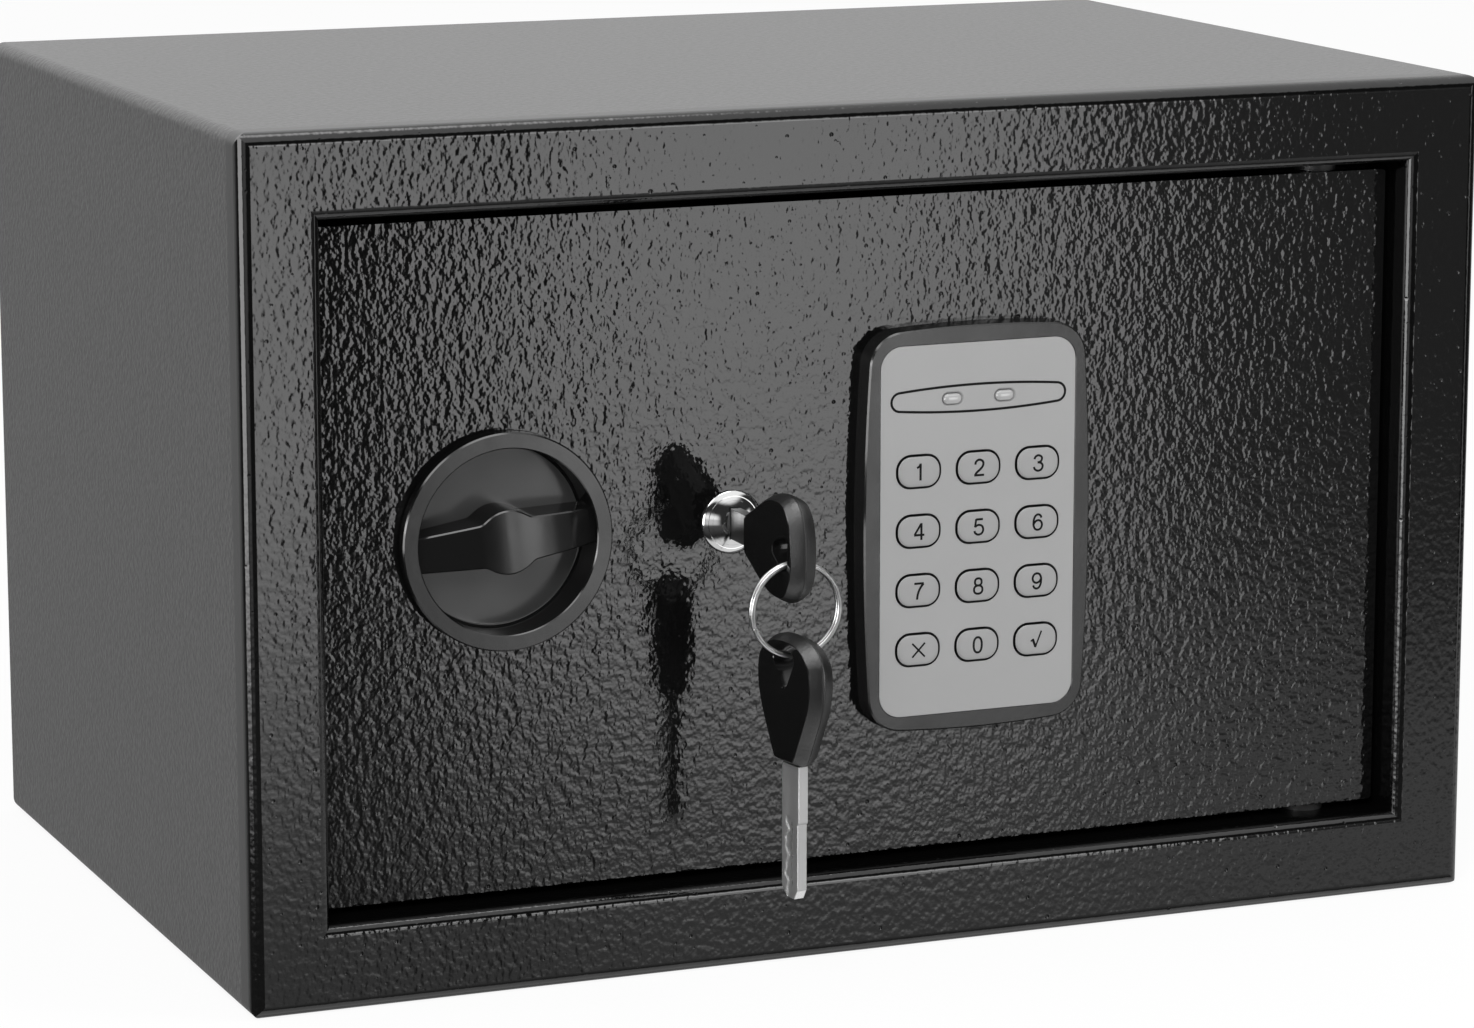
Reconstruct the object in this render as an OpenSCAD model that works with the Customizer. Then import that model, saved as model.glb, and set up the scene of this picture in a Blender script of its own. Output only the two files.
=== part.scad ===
// Small electronic safe with a keypad, a turning bolt knob and a key override.
// Millimetres, +Z up. The origin is on the floor, under the centre of the cabinet.
// The front faces -Y and the door hinges on the right, on two hidden upright pins.

/* [Cabinet] */
// Outer width of the cabinet
body_w = 310; // [296:1:400]
// Outer height of the cabinet
body_h = 200; // [200:1:300]
// Outer depth of the cabinet
body_d = 210; // [180:1:400]
// Thickness of the cabinet sheet
wall = 2; // [1.5:0.1:2.4]
// Outside radius of the folded cabinet edges
edge_r = 3; // [2.8:0.1:5]
// How far the back sheet lies inside the end of the walls
back_inset = 0; // [0:0.5:3]
// Thickness of the mat on the floor
mat_t = 2.5; // [1.5:0.5:5]
// Gap between the mat and the walls
mat_gap = 3; // [1:1:10]

/* [Front frame] */
// From the outer side of the cabinet to the clear opening
border_side = 19; // [18:1:26]
// From the top of the cabinet to the clear opening
border_top = 20; // [18:1:26]
// From the floor to the clear opening
border_bottom = 20; // [18:1:26]
// Outside radius of the fold round the opening
lip_r = 2.4; // [2.4:0.1:3]
// Depth of the lip folded back round the opening
lip_depth = 20; // [19:0.5:21]
// Depth of the flange that the walls are welded to
frame_return = 8; // [6:1:12]

/* [Anchors] */
// Diameter of the anchor holes
anchor_d = 10; // [6:0.5:14]
// Distance between the two holes in the back
back_anchor_pitch = 150; // [80:5:200]
// Height of the holes in the back
back_anchor_up = 100; // [60:5:140]
// Distance between the two holes in the floor
floor_anchor_pitch = 150; // [80:5:200]
// Distance of the floor holes behind the middle of the cabinet
floor_anchor_back = 20; // [0:5:50]
// Extra width of the mat's holes
mat_hole_gap = 6; // [2:1:12]

/* [Door] */
// How far the door lies behind the front of the frame
door_recess = 9; // [8:0.5:10]
// Thickness of the door plate
door_t = 3; // [2.5:0.1:3.5]
// Gap at the bolt side
gap_left = 1; // [0.8:0.1:2]
// Gap at the hinge side
gap_right = 1.4; // [1.3:0.1:2]
// Gap over the door
gap_top = 2.6; // [2:0.1:4]
// Gap under the door
gap_bottom = 1.8; // [1.4:0.1:3]
// Corner radius of the door plate
door_corner_r = 1; // [0.5:0.1:3]

/* [Hinge] */
// From the door's edge to the hinge axis
pivot_inset = 16; // [15:0.5:20]
// From the back of the door plate to the hinge axis
pivot_back = 3; // [2.8:0.1:3.2]
// Diameter of the hinge pins
hinge_pin_d = 5; // [4:0.1:5.2]
// Radial clearance of every turning or sliding fit
fit = 0.05; // [0.02:0.01:0.08]
// Thickness of the lugs on the door
lug_t = 4; // [3:0.5:6]
// Thickness of the brackets in the frame
bracket_t = 4; // [3:0.5:6]
// Height of a pin's head
pin_head_h = 1.5; // [1:0.1:2.5]
// Diameter of the washers
washer_d = 10; // [8:0.5:12]
// Gap between the washers and the door
washer_gap = 0.1; // [0.05:0.05:0.3]

/* [Door cover] */
// Depth from the back of the door plate to the back of the cover
cover_depth = 37; // [37:0.5:40]
// Thickness of the cover sheet
cover_t = 1.2; // [1:0.1:1.5]
// From the door's edge to the cover at the bolt side
cover_left = 5; // [5:0.5:8]
// From the door's edge to the cover at the hinge side
cover_right = 30.6; // [29:0.2:34]
// From the door's lower and upper edges to the cover
cover_edge = 6.4; // [5:0.2:7]
// Diameter of the four posts that carry the cover
post_d = 8; // [7:0.5:10]
// Distance of a post from the inner corner of the cover
post_inset = 7; // [6:0.5:9]
// Diameter of the cover's screws
cover_screw_d = 4; // [3:0.5:4.5]

/* [Knob] */
// From the door's edge to the knob's axis
knob_from_edge = 44; // [43:0.5:46]
// Height of the knob and the lock over the middle of the door
axis_up = 4.2; // [0.2:0.5:6.2]
// Diameter of the knob's rim
knob_d = 50.4; // [49:0.2:54]
// How far the rim stands out from the door
rim_proud = 3.5; // [3:0.1:5]
// Gap between the rim and the door
rim_gap = 0.4; // [0.3:0.1:0.8]
// Diameter of the dished recess
dish_d = 43; // [40:0.5:43.4]
// Depth of the recess below the rim
dish_depth = 10; // [8:0.5:11]
// Thickness of the knob's floor
dish_floor_t = 2; // [1.5:0.1:2.5]
// Outer diameter of the cup behind the rim
cup_d = 45.6; // [45.4:0.1:46]
// Width of the grip at its ends
grip_end_w = 7.5; // [6:0.5:9]
// Width of the grip beside the hub
grip_root_w = 11.5; // [9:0.5:13]
// Diameter of the grip's hub
hub_d = 14.5; // [13:0.5:16]
// How far the ends of the grip stand out from the rim
grip_proud = 0.4; // [0.3:0.1:1]
// How much further out the hub is than the ends of the grip
grip_crown = 2.8; // [1:0.1:4]
// Angle of the grip at rest, from level
grip_tilt = 6; // [0:1:15]
// Angle that the knob turns to throw the bolts
knob_throw = 90; // [70:5:90]
// Wall of the bush that the knob turns in
bush_wall = 0.9; // [0.8:0.1:1.1]
// Width of the square spindle
spindle_w = 7; // [6:0.5:8]

/* [Bolt work] */
// Radius of the crank pin
crank_r = 9.2; // [8.6:0.1:9.4]
// Diameter of the crank pin
crank_pin_d = 5; // [4:0.5:6]
// Thickness of the crank disc
crank_t = 3; // [2:0.5:3.5]
// Diameter of the crank disc
crank_d = 26; // [25:0.5:27]
// From the back of the door plate to the carriage
carriage_back = 11.5; // [11.3:0.1:12]
// Thickness of the carriage plate
carriage_t = 2.5; // [2:0.1:2.6]
// Side clearance of the pins in the carriage's slots
slot_gap = 0.4; // [0.35:0.05:0.6]
// Diameter of the locking bolts
bolt_d = 12; // [10:0.5:12.5]
// Distance between the locking bolts
bolt_pitch = 56; // [54:1:57]
// From the back of the door plate to the bolts' axis
bolt_back = 15.5; // [15:0.1:16]
// Length of the locking bolts
bolt_len = 24; // [22:0.5:25]
// From the knob's axis to the carriage's upright flange
flange_from_knob = 17; // [16.5:0.1:18]
// Thickness of the upright flange
flange_t = 3; // [2:0.5:3.5]
// Diameter of the studs that guide the carriage
stud_d = 6; // [5:0.5:6.5]

/* [Solenoid] */
// From the knob's axis to the plunger's axis
plunger_from_knob = 19; // [18.5:0.1:19.5]
// Diameter of the plunger
plunger_d = 5; // [4:0.5:5]
// Travel of the plunger
plunger_travel = 5; // [4:0.5:5.5]
// Height of the solenoid's frame over the knob's axis
solenoid_up = 34.2; // [34:0.2:34.6]
// From the top of the solenoid's frame to the edge of the cover
solenoid_gap = 5; // [4:0.5:9]
// Width of the solenoid's frame
solenoid_w = 22; // [20:1:23]
// Thickness of the solenoid's frame
solenoid_t = 2; // [1.5:0.1:2.2]

/* [Key lock] */
// From the knob's axis to the lock's axis
lock_from_knob = 55.8; // [55:0.2:58]
// Diameter of the lock's front flange
lock_d = 14.6; // [14:0.2:16]
// How far the lock stands out from the door
lock_proud = 1; // [0.6:0.1:2]
// Diameter of the lock's body
lock_body_d = 13.4; // [13:0.1:13.6]
// Diameter of the plug's face
plug_face_d = 12.4; // [12:0.1:12.6]
// Diameter of the plug's body
plug_d = 10.4; // [10:0.1:10.8]
// Length of the plug behind the door's face
plug_len = 18.5; // [18:0.1:19]
// Reach of the cam from the lock's axis
cam_reach = 20; // [18:0.5:21]
// Width of the cam
cam_w = 8; // [7:0.5:8.5]
// Thickness of the cam
cam_t = 2; // [1.5:0.1:2.4]

/* [Keys] */
// Width of a key's blade
blade_w = 7.2; // [6.5:0.1:7.4]
// Thickness of a key's blade
blade_t = 2.5; // [2:0.1:2.8]
// Length of a key's blade
blade_len = 31; // [30:0.5:31.4]
// Side clearance of the blade in the keyway
keyway_gap = 0.15; // [0.1:0.05:0.2]
// From the door's face to the head of the key in the lock
head_stand_off = 13.5; // [13:0.5:16]
// Length of a key's head
head_len = 30; // [28:1:32]
// Width of a key's head at its round end
head_w = 24.6; // [22:0.2:26]
// Width of a key's head at the blade
head_neck_w = 12; // [10:0.5:14]
// Thickness of a key's head
head_t = 6.4; // [5:0.2:7]
// Chamfer round a key's head
head_chamfer = 2; // [1:0.1:2.2]
// Wall between the ring's hole and the round end
head_hole_wall = 3.3; // [3:0.1:4]
// Width of the ring's hole
head_hole_w = 8.4; // [8:0.2:9]
// Length of the ring's hole
head_hole_len = 9; // [8.5:0.1:10]
// Outer diameter of the key ring
ring_d = 22.4; // [20:0.2:30]
// Radial thickness of the key ring's wire
ring_wire = 1.3; // [1:0.1:1.5]
// Width of the ring's two turns together
ring_width = 2.4; // [2:0.1:2.6]
// Turn of the hanging key about the upright
spare_twist = 9; // [0:1:12]

/* [Keypad] */
// From the lock's axis to the keypad's axis
pad_from_lock = 60; // [58:0.1:62]
// Height of the keypad's centre over the knob's axis
pad_up = -4.8; // [-6:0.1:-2]
// Width of the keypad's housing
pad_w = 58.4; // [57:0.1:60]
// Height of the keypad's housing
pad_h = 96.4; // [93:0.1:98]
// How far the housing stands out from the door
pad_proud = 5.6; // [5.5:0.1:6.5]
// Corner radius of the housing
pad_r = 8.5; // [7:0.5:10]
// How far the housing's long sides bow out
pad_side_bow = 2; // [0.5:0.1:2.4]
// How far its top and bottom bow out
pad_end_bow = 1.5; // [0.5:0.1:2]
// Width of the housing's rim round the faceplate
pad_rim = 4.2; // [3.8:0.1:4.6]
// Corner radius of the faceplate
plate_r = 5.5; // [5:0.1:7]
// Thickness of the faceplate
plate_t = 0.6; // [0.4:0.1:0.7]
// Wall of the housing
pad_wall = 2; // [1.5:0.1:2.2]
// Thickness of the web behind the faceplate
web_t = 1.1; // [0.9:0.1:1.2]
// Width of a key cap
cap_w = 11.3; // [10.5:0.1:12]
// Height of a key cap
cap_h = 7.6; // [7:0.1:8.4]
// Corner radius of a key cap
cap_r = 3.4; // [3:0.1:3.5]
// How far a key cap stands out from the faceplate
cap_proud = 0.6; // [0.3:0.1:0.6]
// Gap round a key cap
cap_gap = 0.4; // [0.3:0.05:0.5]
// Travel of a key cap
cap_travel = 0.8; // [0.5:0.1:0.8]
// Distance between the columns of keys
col_pitch = 15.25; // [15:0.05:15.5]
// Distance between the rows of keys
row_pitch = 14.13; // [13.8:0.01:14.3]
// Height of the top row over the keypad's centre
top_row_up = 14.3; // [14:0.1:15]
// Height of the two lamps over the keypad's centre
lamp_up = 30.9; // [30:0.1:31.5]
// Distance between the two lamps
lamp_pitch = 13.4; // [12:0.1:15]
// Width of a lamp's lens
lamp_w = 5.6; // [5:0.1:6]
// Height of a lamp's lens
lamp_h = 3; // [2.5:0.1:3.4]

/* [Power] */
// Diameter of a battery cell
cell_d = 14.2; // [14:0.1:14.5]
// Length of a battery cell
cell_len = 50; // [49.5:0.1:50.5]
// Distance between two cells
cell_pitch = 15; // [14.8:0.1:15.2]
// From the cover's hinge side to the battery tray
tray_from_edge = 6; // [4:0.5:8]
// From the cover's lower edge to the battery tray
tray_up = 14; // [13:0.5:15]
// Lift that takes the battery lid off
lid_lift = 20; // [10:1:30]
// Travel of the reset button
reset_travel = 1.5; // [1:0.1:2]

/* [Hidden] */
$fn = 64;
eps = 0.01;

// Planes from front to back
y_front = -body_d / 2;
y_back = body_d / 2;
y_face = y_front + door_recess;
y_plate = y_face + door_t;
y_cover = y_plate + cover_depth;

// Clear opening and door outline
open_x = body_w / 2 - border_side;
open_z0 = border_bottom;
open_z1 = body_h - border_top;
door_x0 = -open_x + gap_left;
door_x1 = open_x - gap_right;
door_z0 = open_z0 + gap_bottom;
door_z1 = open_z1 - gap_top;
pivot_x = door_x1 - pivot_inset;
pivot_y = y_plate + pivot_back;

// Cover outline
cov_x0 = door_x0 + cover_left;
cov_x1 = door_x1 - cover_right;
cov_z0 = door_z0 + cover_edge;
cov_z1 = door_z1 - cover_edge;
posts = [for (x = [cov_x0 + cover_t + post_inset, cov_x1 - cover_t - post_inset],
    z = [cov_z0 + cover_t + post_inset, cov_z1 - cover_t - post_inset]) [x, z]];

// Places of the controls on the door
knob_x = door_x0 + knob_from_edge;
axis_z = (door_z0 + door_z1) / 2 + axis_up;
lock_x = knob_x + lock_from_knob;
pad_x = lock_x + pad_from_lock;
pad_z = axis_z + pad_up;

// Knob planes
y_rim = y_face - rim_proud;
y_dish = y_rim + dish_depth;
y_knob_back = y_dish + dish_floor_t;
y_hub = y_rim - grip_proud - grip_crown;
crown_r = (pow(dish_d / 2, 2) + pow(grip_crown, 2)) / (2 * grip_crown);
bush_r = cup_d / 2 + fit + bush_wall;
bush_flange = 2.4;

// Bolt work: the crank pin swings evenly about the upright, so the carriage moves by its chord
bolt_throw = 2 * crank_r * sin(knob_throw / 2);
pin_a0 = 90 - knob_throw / 2;
pin_x = knob_x + crank_r * cos(pin_a0);
pin_z0 = axis_z + crank_r * sin(pin_a0);
pin_z1 = axis_z + crank_r;
y_car = y_plate + carriage_back;
y_car_back = y_car + carriage_t;
crank_gap = 1.5;
y_crank = y_car - crank_gap - crank_t;
clip_h = 1;
clip_wall = 1.5;
bolt_y = y_plate + bolt_back;
bolt_zs = [axis_z - bolt_pitch / 2, axis_z + bolt_pitch / 2];
flange_x = knob_x - flange_from_knob;
car_z0 = bolt_zs[0] - bolt_d / 2 - 2;
car_z1 = bolt_zs[1] + bolt_d / 2 - 0.8;
flange_z1 = bolt_zs[1] + bolt_d / 2 + 2;
stud_x = knob_x - 6;
stud_zs = bolt_zs;
stud_head = 1.5;
guide_t = 2.5;
guide_x = flange_x - bolt_throw - 0.5 - guide_t;

// Solenoid above the carriage's notched edge
plunger_x = knob_x + plunger_from_knob;
plunger_y = y_car + carriage_t / 2;
edge_z = axis_z + 18.2;
notch_deep = plunger_travel + 1.5;
notch_w = plunger_d + 1.6;
notch_wall = 6.8;
arm_z0 = edge_z - notch_deep - 4.5;
arm_x1 = plunger_x + bolt_throw + notch_w / 2 + notch_wall;
sol_z = axis_z + solenoid_up;
solenoid_h = cov_z1 - solenoid_gap - sol_z;
coil_wall = 1;
coil_r = solenoid_w / 2 - solenoid_t;
collar_z = edge_z + 7;
collar_h = 2;
collar_r = 4.5;
spring_gap = 0.3;

// Lock, cam and the lever on the plunger that the cam lifts
y_lock = y_face - lock_proud;
y_plug_back = y_face + plug_len;
cam_top_gap = 0.4;
lever_z = axis_z + cam_w / 2 + cam_top_gap;
lever_h = 5;
lever_x1 = lock_x - 11.5;
tail_w = 6;
tail_thread_d = 5;
cam_nut_w = 8;
cam_nut_h = 3.2;

// Keys
y_head = y_face - head_stand_off;
hole_r = 2;
hole_c = head_hole_wall + hole_r + 0.5;
ring_clear = 0.35;
ring_swing_r = ring_width / 2;
ring_top_z = axis_z - head_hole_w / 2 + ring_clear + ring_swing_r;
ring_r = ring_d / 2 - ring_wire / 2;
ring_y = y_head - head_len + hole_c;
ring_z = ring_top_z - ring_r;
spare_hang_z = ring_z - ring_r;
spare_top_z = spare_hang_z + ring_swing_r + ring_clear + head_hole_wall;

// Keypad planes, from its front to the door
y_pad = y_face - pad_proud;
y_web = y_pad + plate_t;
y_web_back = y_web + web_t;
cap_flange_t = 0.8;
y_cap_back = y_web_back + fit + cap_flange_t;
y_mat = y_cap_back + cap_travel + 0.1;
mat_sheet_t = 1;
y_board = y_mat + mat_sheet_t;
board_t = 1.6;
pad_board_t = 1;
board_w = 44;
board_h = 72;
lamp_proud = 0.4;
pad_screws = [for (x = [-22.6, 22.6], z = [-41, 41]) [pad_x + x, pad_z + z]];
boss_r = 3;
pad_side_r = pow(pad_h / 2, 2) / (2 * pad_side_bow) + pad_side_bow / 2;
pad_end_r = pow(pad_w / 2, 2) / (2 * pad_end_bow) + pad_end_bow / 2;
pad_screw_d = 3;
pad_screw_grip = 3.4;
pad_screw_head_d = 5.6;
pad_screw_head_h = 1.8;
cable_slot = [22, 7];
cable_z = pad_z + 26;
KEYS = ["1", "2", "3", "4", "5", "6", "7", "8", "9", "clear", "0", "enter"];
function key_x(i) = pad_x + (i % 3 - 1) * col_pitch;
function key_z(i) = pad_z + top_row_up - floor(i / 3) * row_pitch;

// Battery tray, inside the cover
tray_wall = 1.5;
tray_w = 4 * cell_pitch + 2 * tray_wall;
tray_len = cell_len + 6;
tray_x1 = cov_x1 - tray_from_edge;
tray_x0 = tray_x1 - tray_w;
tray_z0 = cov_z0 + tray_up;
tray_z1 = tray_z0 + tray_len;
contact_t = 0.4;
contact_w = 9;
contact_in = 2.5;
contact_gap = 3;
tab_w = 4;
lid_t = 1.5;
lid_seat = 0.5;
y_tray_back = y_cover - cover_t;
y_tray = y_tray_back - cell_d - 2.5;
reset_x = tray_x0 - 8;
reset_z = tray_z0 + 14;
reset_d = 5;
reset_collar = 2;
reset_lip = 2;

// Control board above the tray
ctrl_from_edge = 12;
ctrl_w = 80;
ctrl_h = 40;
ctrl_gap = 8;
ctrl_x1 = cov_x1 - ctrl_from_edge;
ctrl_x0 = ctrl_x1 - ctrl_w;
ctrl_z0 = tray_z1 + ctrl_gap;
ctrl_z1 = ctrl_z0 + ctrl_h;
chip = [14, 12, 18, 8, 3];
relay = [42, 20, 16, 13, 11];
pad_socket = [2, 14, 6, 12, 6];
cell_socket = [58, 2, 12, 6, 6];
ctrl_post_h = 5;
loom_d = 2.4;
loom_up = 4;
loom_low = 2.2;
y_ctrl = y_plate + ctrl_post_h;

// A front outline, drawn in x and z, made solid between two planes
module slab(y0, y1) {
    translate([0, y1, 0]) rotate([90, 0, 0]) linear_extrude(y1 - y0) children();
}

// A round bar along Y between two planes
module bar_y(x, z, y0, y1, d, sides = 64) {
    translate([x, y0, z]) rotate([-90, 0, 0]) cylinder(h = y1 - y0, d = d, $fn = sides);
}

// A round bar along X
module bar_x(x0, x1, y, z, d) {
    translate([x0, y, z]) rotate([0, 90, 0]) cylinder(h = x1 - x0, d = d);
}

// A round bar along Z
module bar_z(x, y, z0, z1, d) {
    translate([x, y, z0]) cylinder(h = z1 - z0, d = d);
}

module block(x0, x1, y0, y1, z0, z1) {
    translate([x0, y0, z0]) cube([x1 - x0, y1 - y0, z1 - z0]);
}

// A rectangle with round corners, about the origin
module round_rect(w, h, r) {
    square([w - 2 * r, h], center = true);
    square([w, h - 2 * r], center = true);
    for (x = [-1, 1], y = [-1, 1])
        translate([x * (w / 2 - r), y * (h / 2 - r)]) circle(r);
}

// Points on an arc, without its last one
function arc_points(c, r, from, to, steps) =
    [for (i = [0 : steps - 1]) let (a = from + (to - from) * i / steps) c + r * [cos(a), sin(a)]];

// A quarter of the outline below, from the middle of the right side to the middle of the top
function bowed_quarter(w, h, r, side_r, end_r) =
    let (side = [w / 2 - side_r, 0], end = [0, h / 2 - end_r], apart = norm(end - side),
        along = (end - side) / apart,
        t = (pow(side_r - r, 2) - pow(end_r - r, 2) + apart * apart) / (2 * apart),
        c = side + t * along + sqrt(pow(side_r - r, 2) - t * t) * [-along[1], along[0]],
        low = atan2(c[1] - side[1], c[0] - side[0]), high = atan2(c[1] - end[1], c[0] - end[0]))
    concat(arc_points(side, side_r, 0, low, 4), arc_points(c, r, low, high, 8),
        arc_points(end, end_r, high, 90, 4), [[0, h / 2]]);

// Outline with round corners whose four sides bow outwards
module bowed_rect(w, h, r, side_r, end_r) {
    q = bowed_quarter(w, h, r, side_r, end_r);
    n = len(q) - 1;
    polygon(concat([for (i = [0 : n - 1]) q[i]], [for (i = [n : -1 : 1]) [-q[i][0], q[i][1]]],
        [for (i = [0 : n - 1]) -q[i]], [for (i = [n : -1 : 1]) [q[i][0], -q[i][1]]]));
}

// A slot between two points on a level line
module slot(x0, x1, z, d) {
    translate([x0, z]) circle(d = d);
    translate([x1, z]) circle(d = d);
    translate([x0, z - d / 2]) square([x1 - x0, d]);
}

// Half section of a sheet edge with its front corner rounded
module rounded_front(len, r, y1) {
    translate([y_front + r, r]) circle(r);
    translate([y_front + r, len - r]) circle(r);
    translate([y_front + r, 0]) square([y1 - y_front - r, len]);
    translate([y_front, r]) square([y1 - y_front, len - 2 * r]);
}

module front_blank() {
    intersection() {
        slab(y_front, y_front + frame_return)
            translate([0, body_h / 2]) round_rect(body_w, body_h, edge_r);
        translate([-body_w / 2, 0, 0]) rotate([90, 0, 90]) linear_extrude(body_w)
            rounded_front(body_h, edge_r, y_front + frame_return);
        translate([-body_w / 2, 0, 0]) linear_extrude(body_h) mirror([1, -1])
            rounded_front(body_w, edge_r, y_front + frame_return);
    }
}

// Section of the flared mouth of the opening, w wide, across the first axis
module flare_2d(w) {
    difference() {
        translate([-w / 2 - lip_r, y_front - eps]) square([w + 2 * lip_r, lip_r + eps]);
        for (side = [-1, 1])
            translate([side * (w / 2 + lip_r), y_front + lip_r]) circle(lip_r);
    }
}

// Mouth of the opening, cut with a round edge that meets in mitres at the corners
module flared_mouth() {
    h = open_z1 - open_z0;
    intersection() {
        linear_extrude(body_h) flare_2d(2 * open_x);
        translate([-body_w / 2, 0, (open_z0 + open_z1) / 2]) rotate([90, 0, 90])
            linear_extrude(body_w) mirror([1, -1]) flare_2d(h);
    }
}

module opening_2d(grow) {
    translate([-open_x - grow, open_z0 - grow])
        square([2 * (open_x + grow), open_z1 - open_z0 + 2 * grow]);
}

module body_shell() {
    color([0.2, 0.2, 0.21]) difference() {
        slab(y_front + frame_return, y_back)
            translate([0, body_h / 2]) round_rect(body_w, body_h, edge_r);
        slab(y_front, y_back + eps)
            translate([0, body_h / 2])
            round_rect(body_w - 2 * wall, body_h - 2 * wall, max(edge_r - wall, 0.5));
        for (x = [-1, 1] * floor_anchor_pitch / 2)
            bar_z(x, floor_anchor_back, -eps, wall + eps, anchor_d);
    }
}

module front_frame() {
    color([0.08, 0.08, 0.08]) difference() {
        union() {
            front_blank();
            slab(y_front + wall, y_front + lip_depth) opening_2d(wall);
        }
        slab(y_front + wall, y_front + frame_return + eps) difference() {
            translate([0, body_h / 2]) round_rect(body_w - 2 * wall, body_h - 2 * wall,
                max(edge_r - wall, 0.5));
            opening_2d(wall);
        }
        slab(y_front - eps, y_front + lip_depth + eps) opening_2d(0);
        flared_mouth();
        bar_z(pivot_x, pivot_y, open_z0 - wall - eps, open_z0 + eps, hinge_pin_d + 2 * fit);
        bar_z(pivot_x, pivot_y, open_z1 - eps, open_z1 + wall + eps, hinge_pin_d + 2 * fit);
    }
}

module back_panel() {
    color([0.2, 0.2, 0.21]) difference() {
        slab(y_back - wall - back_inset, y_back - back_inset) translate([0, body_h / 2])
            round_rect(body_w - 2 * wall, body_h - 2 * wall, max(edge_r - wall, 0.5));
        for (x = [-1, 1] * back_anchor_pitch / 2)
            bar_y(x, back_anchor_up, y_back - wall - back_inset - eps, y_back + eps, anchor_d);
    }
}

module floor_mat() {
    color([0.12, 0.12, 0.13]) difference() {
        block(-body_w / 2 + wall + mat_gap, body_w / 2 - wall - mat_gap, y_front + lip_depth + mat_gap,
            y_back - wall - back_inset - mat_gap, wall, wall + mat_t);
        for (x = [-1, 1] * floor_anchor_pitch / 2)
            bar_z(x, floor_anchor_back, wall - eps, wall + mat_t + eps, anchor_d + mat_hole_gap);
    }
}

// Brackets welded behind the frame, above and below the opening, that hold the hinge pins
module hinge_brackets() {
    bracket_x = 10;
    bracket_y = [y_front + wall + 3, pivot_y + 9];
    color([0.3, 0.3, 0.31]) difference() {
        for (z = [open_z1 + wall, open_z0 - wall - bracket_t])
            block(pivot_x - bracket_x, pivot_x + bracket_x, bracket_y[0], bracket_y[1], z, z + bracket_t);
        bar_z(pivot_x, pivot_y, 0, body_h, hinge_pin_d + 2 * fit);
    }
}

module hinge_pins() {
    reach = wall + bracket_t;
    head_d = hinge_pin_d + 3;
    color([0.7, 0.7, 0.7]) {
        bar_z(pivot_x, pivot_y, door_z1 - lug_t - 2, open_z1 + reach, hinge_pin_d);
        bar_z(pivot_x, pivot_y, open_z1 + reach, open_z1 + reach + pin_head_h, head_d);
        bar_z(pivot_x, pivot_y, open_z0 - reach, door_z0 + lug_t + 2, hinge_pin_d);
        bar_z(pivot_x, pivot_y, open_z0 - reach - pin_head_h, open_z0 - reach, head_d);
    }
}

// Plastic washers that fill the gaps over and under the door at the hinge
module hinge_washers() {
    color([0.85, 0.85, 0.8]) difference() {
        union() {
            bar_z(pivot_x, pivot_y, open_z0, door_z0 - washer_gap, washer_d);
            bar_z(pivot_x, pivot_y, door_z1 + washer_gap, open_z1, washer_d);
        }
        bar_z(pivot_x, pivot_y, 0, body_h, hinge_pin_d + 2 * fit);
    }
}

module hinge_lugs() {
    lug_x = [pivot_x - 11, pivot_x + 8];
    lug_y1 = pivot_y + 6;
    color([0.3, 0.3, 0.31]) difference() {
        for (z = [door_z0, door_z1 - lug_t])
            block(lug_x[0], lug_x[1], y_plate, lug_y1, z, z + lug_t);
        bar_z(pivot_x, pivot_y, 0, body_h, hinge_pin_d + 2 * fit);
    }
}

module door_plate() {
    color([0.08, 0.08, 0.08]) difference() {
        union() {
            slab(y_face, y_plate) translate([(door_x0 + door_x1) / 2, (door_z0 + door_z1) / 2])
                round_rect(door_x1 - door_x0, door_z1 - door_z0, door_corner_r);
            for (p = posts)
                bar_y(p[0], p[1], y_plate - eps, y_cover - cover_t, post_d);
            for (x = [ctrl_x0 + 5, ctrl_x1 - 5], z = [ctrl_z0 + 5, ctrl_z1 - 5])
                bar_y(x, z, y_plate - eps, y_ctrl, 5);
        }
        for (p = posts)
            bar_y(p[0], p[1], y_cover - cover_t - 12, y_cover, cover_screw_d);
        bar_y(knob_x, axis_z, y_face - eps, y_plate + eps, 2 * bush_r);
        bar_y(lock_x, axis_z, y_face - eps, y_plate + eps, lock_body_d + 0.2);
        slab(y_face - eps, y_plate + eps)
            slot(pad_x - cable_slot[0] / 2, pad_x + cable_slot[0] / 2, cable_z, cable_slot[1]);
        for (p = pad_screws)
            bar_y(p[0], p[1], y_face - eps, y_plate + eps, pad_screw_d + 0.4);
    }
}

// Sheet cover over the bolt work, with openings for the bolts, the batteries and the reset button
module door_cover() {
    color([0.16, 0.16, 0.17]) difference() {
        block(cov_x0, cov_x1, y_plate, y_cover, cov_z0, cov_z1);
        block(cov_x0 + cover_t, cov_x1 - cover_t, y_plate - eps, y_cover - cover_t,
            cov_z0 + cover_t, cov_z1 - cover_t);
        for (z = bolt_zs)
            bar_x(cov_x0 - eps, cov_x0 + cover_t + eps, bolt_y, z, bolt_d + 1);
        for (p = posts)
            bar_y(p[0], p[1], y_cover - cover_t - eps, y_cover + eps, cover_screw_d + 0.4);
        block(tray_x0 + tray_wall, tray_x1 - tray_wall, y_cover - cover_t - eps, y_cover + eps,
            tray_z0 + tray_wall, tray_z1 - tray_wall);
        bar_y(reset_x, reset_z, y_cover - cover_t - eps, y_cover + eps, reset_d + 1);
    }
}

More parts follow.
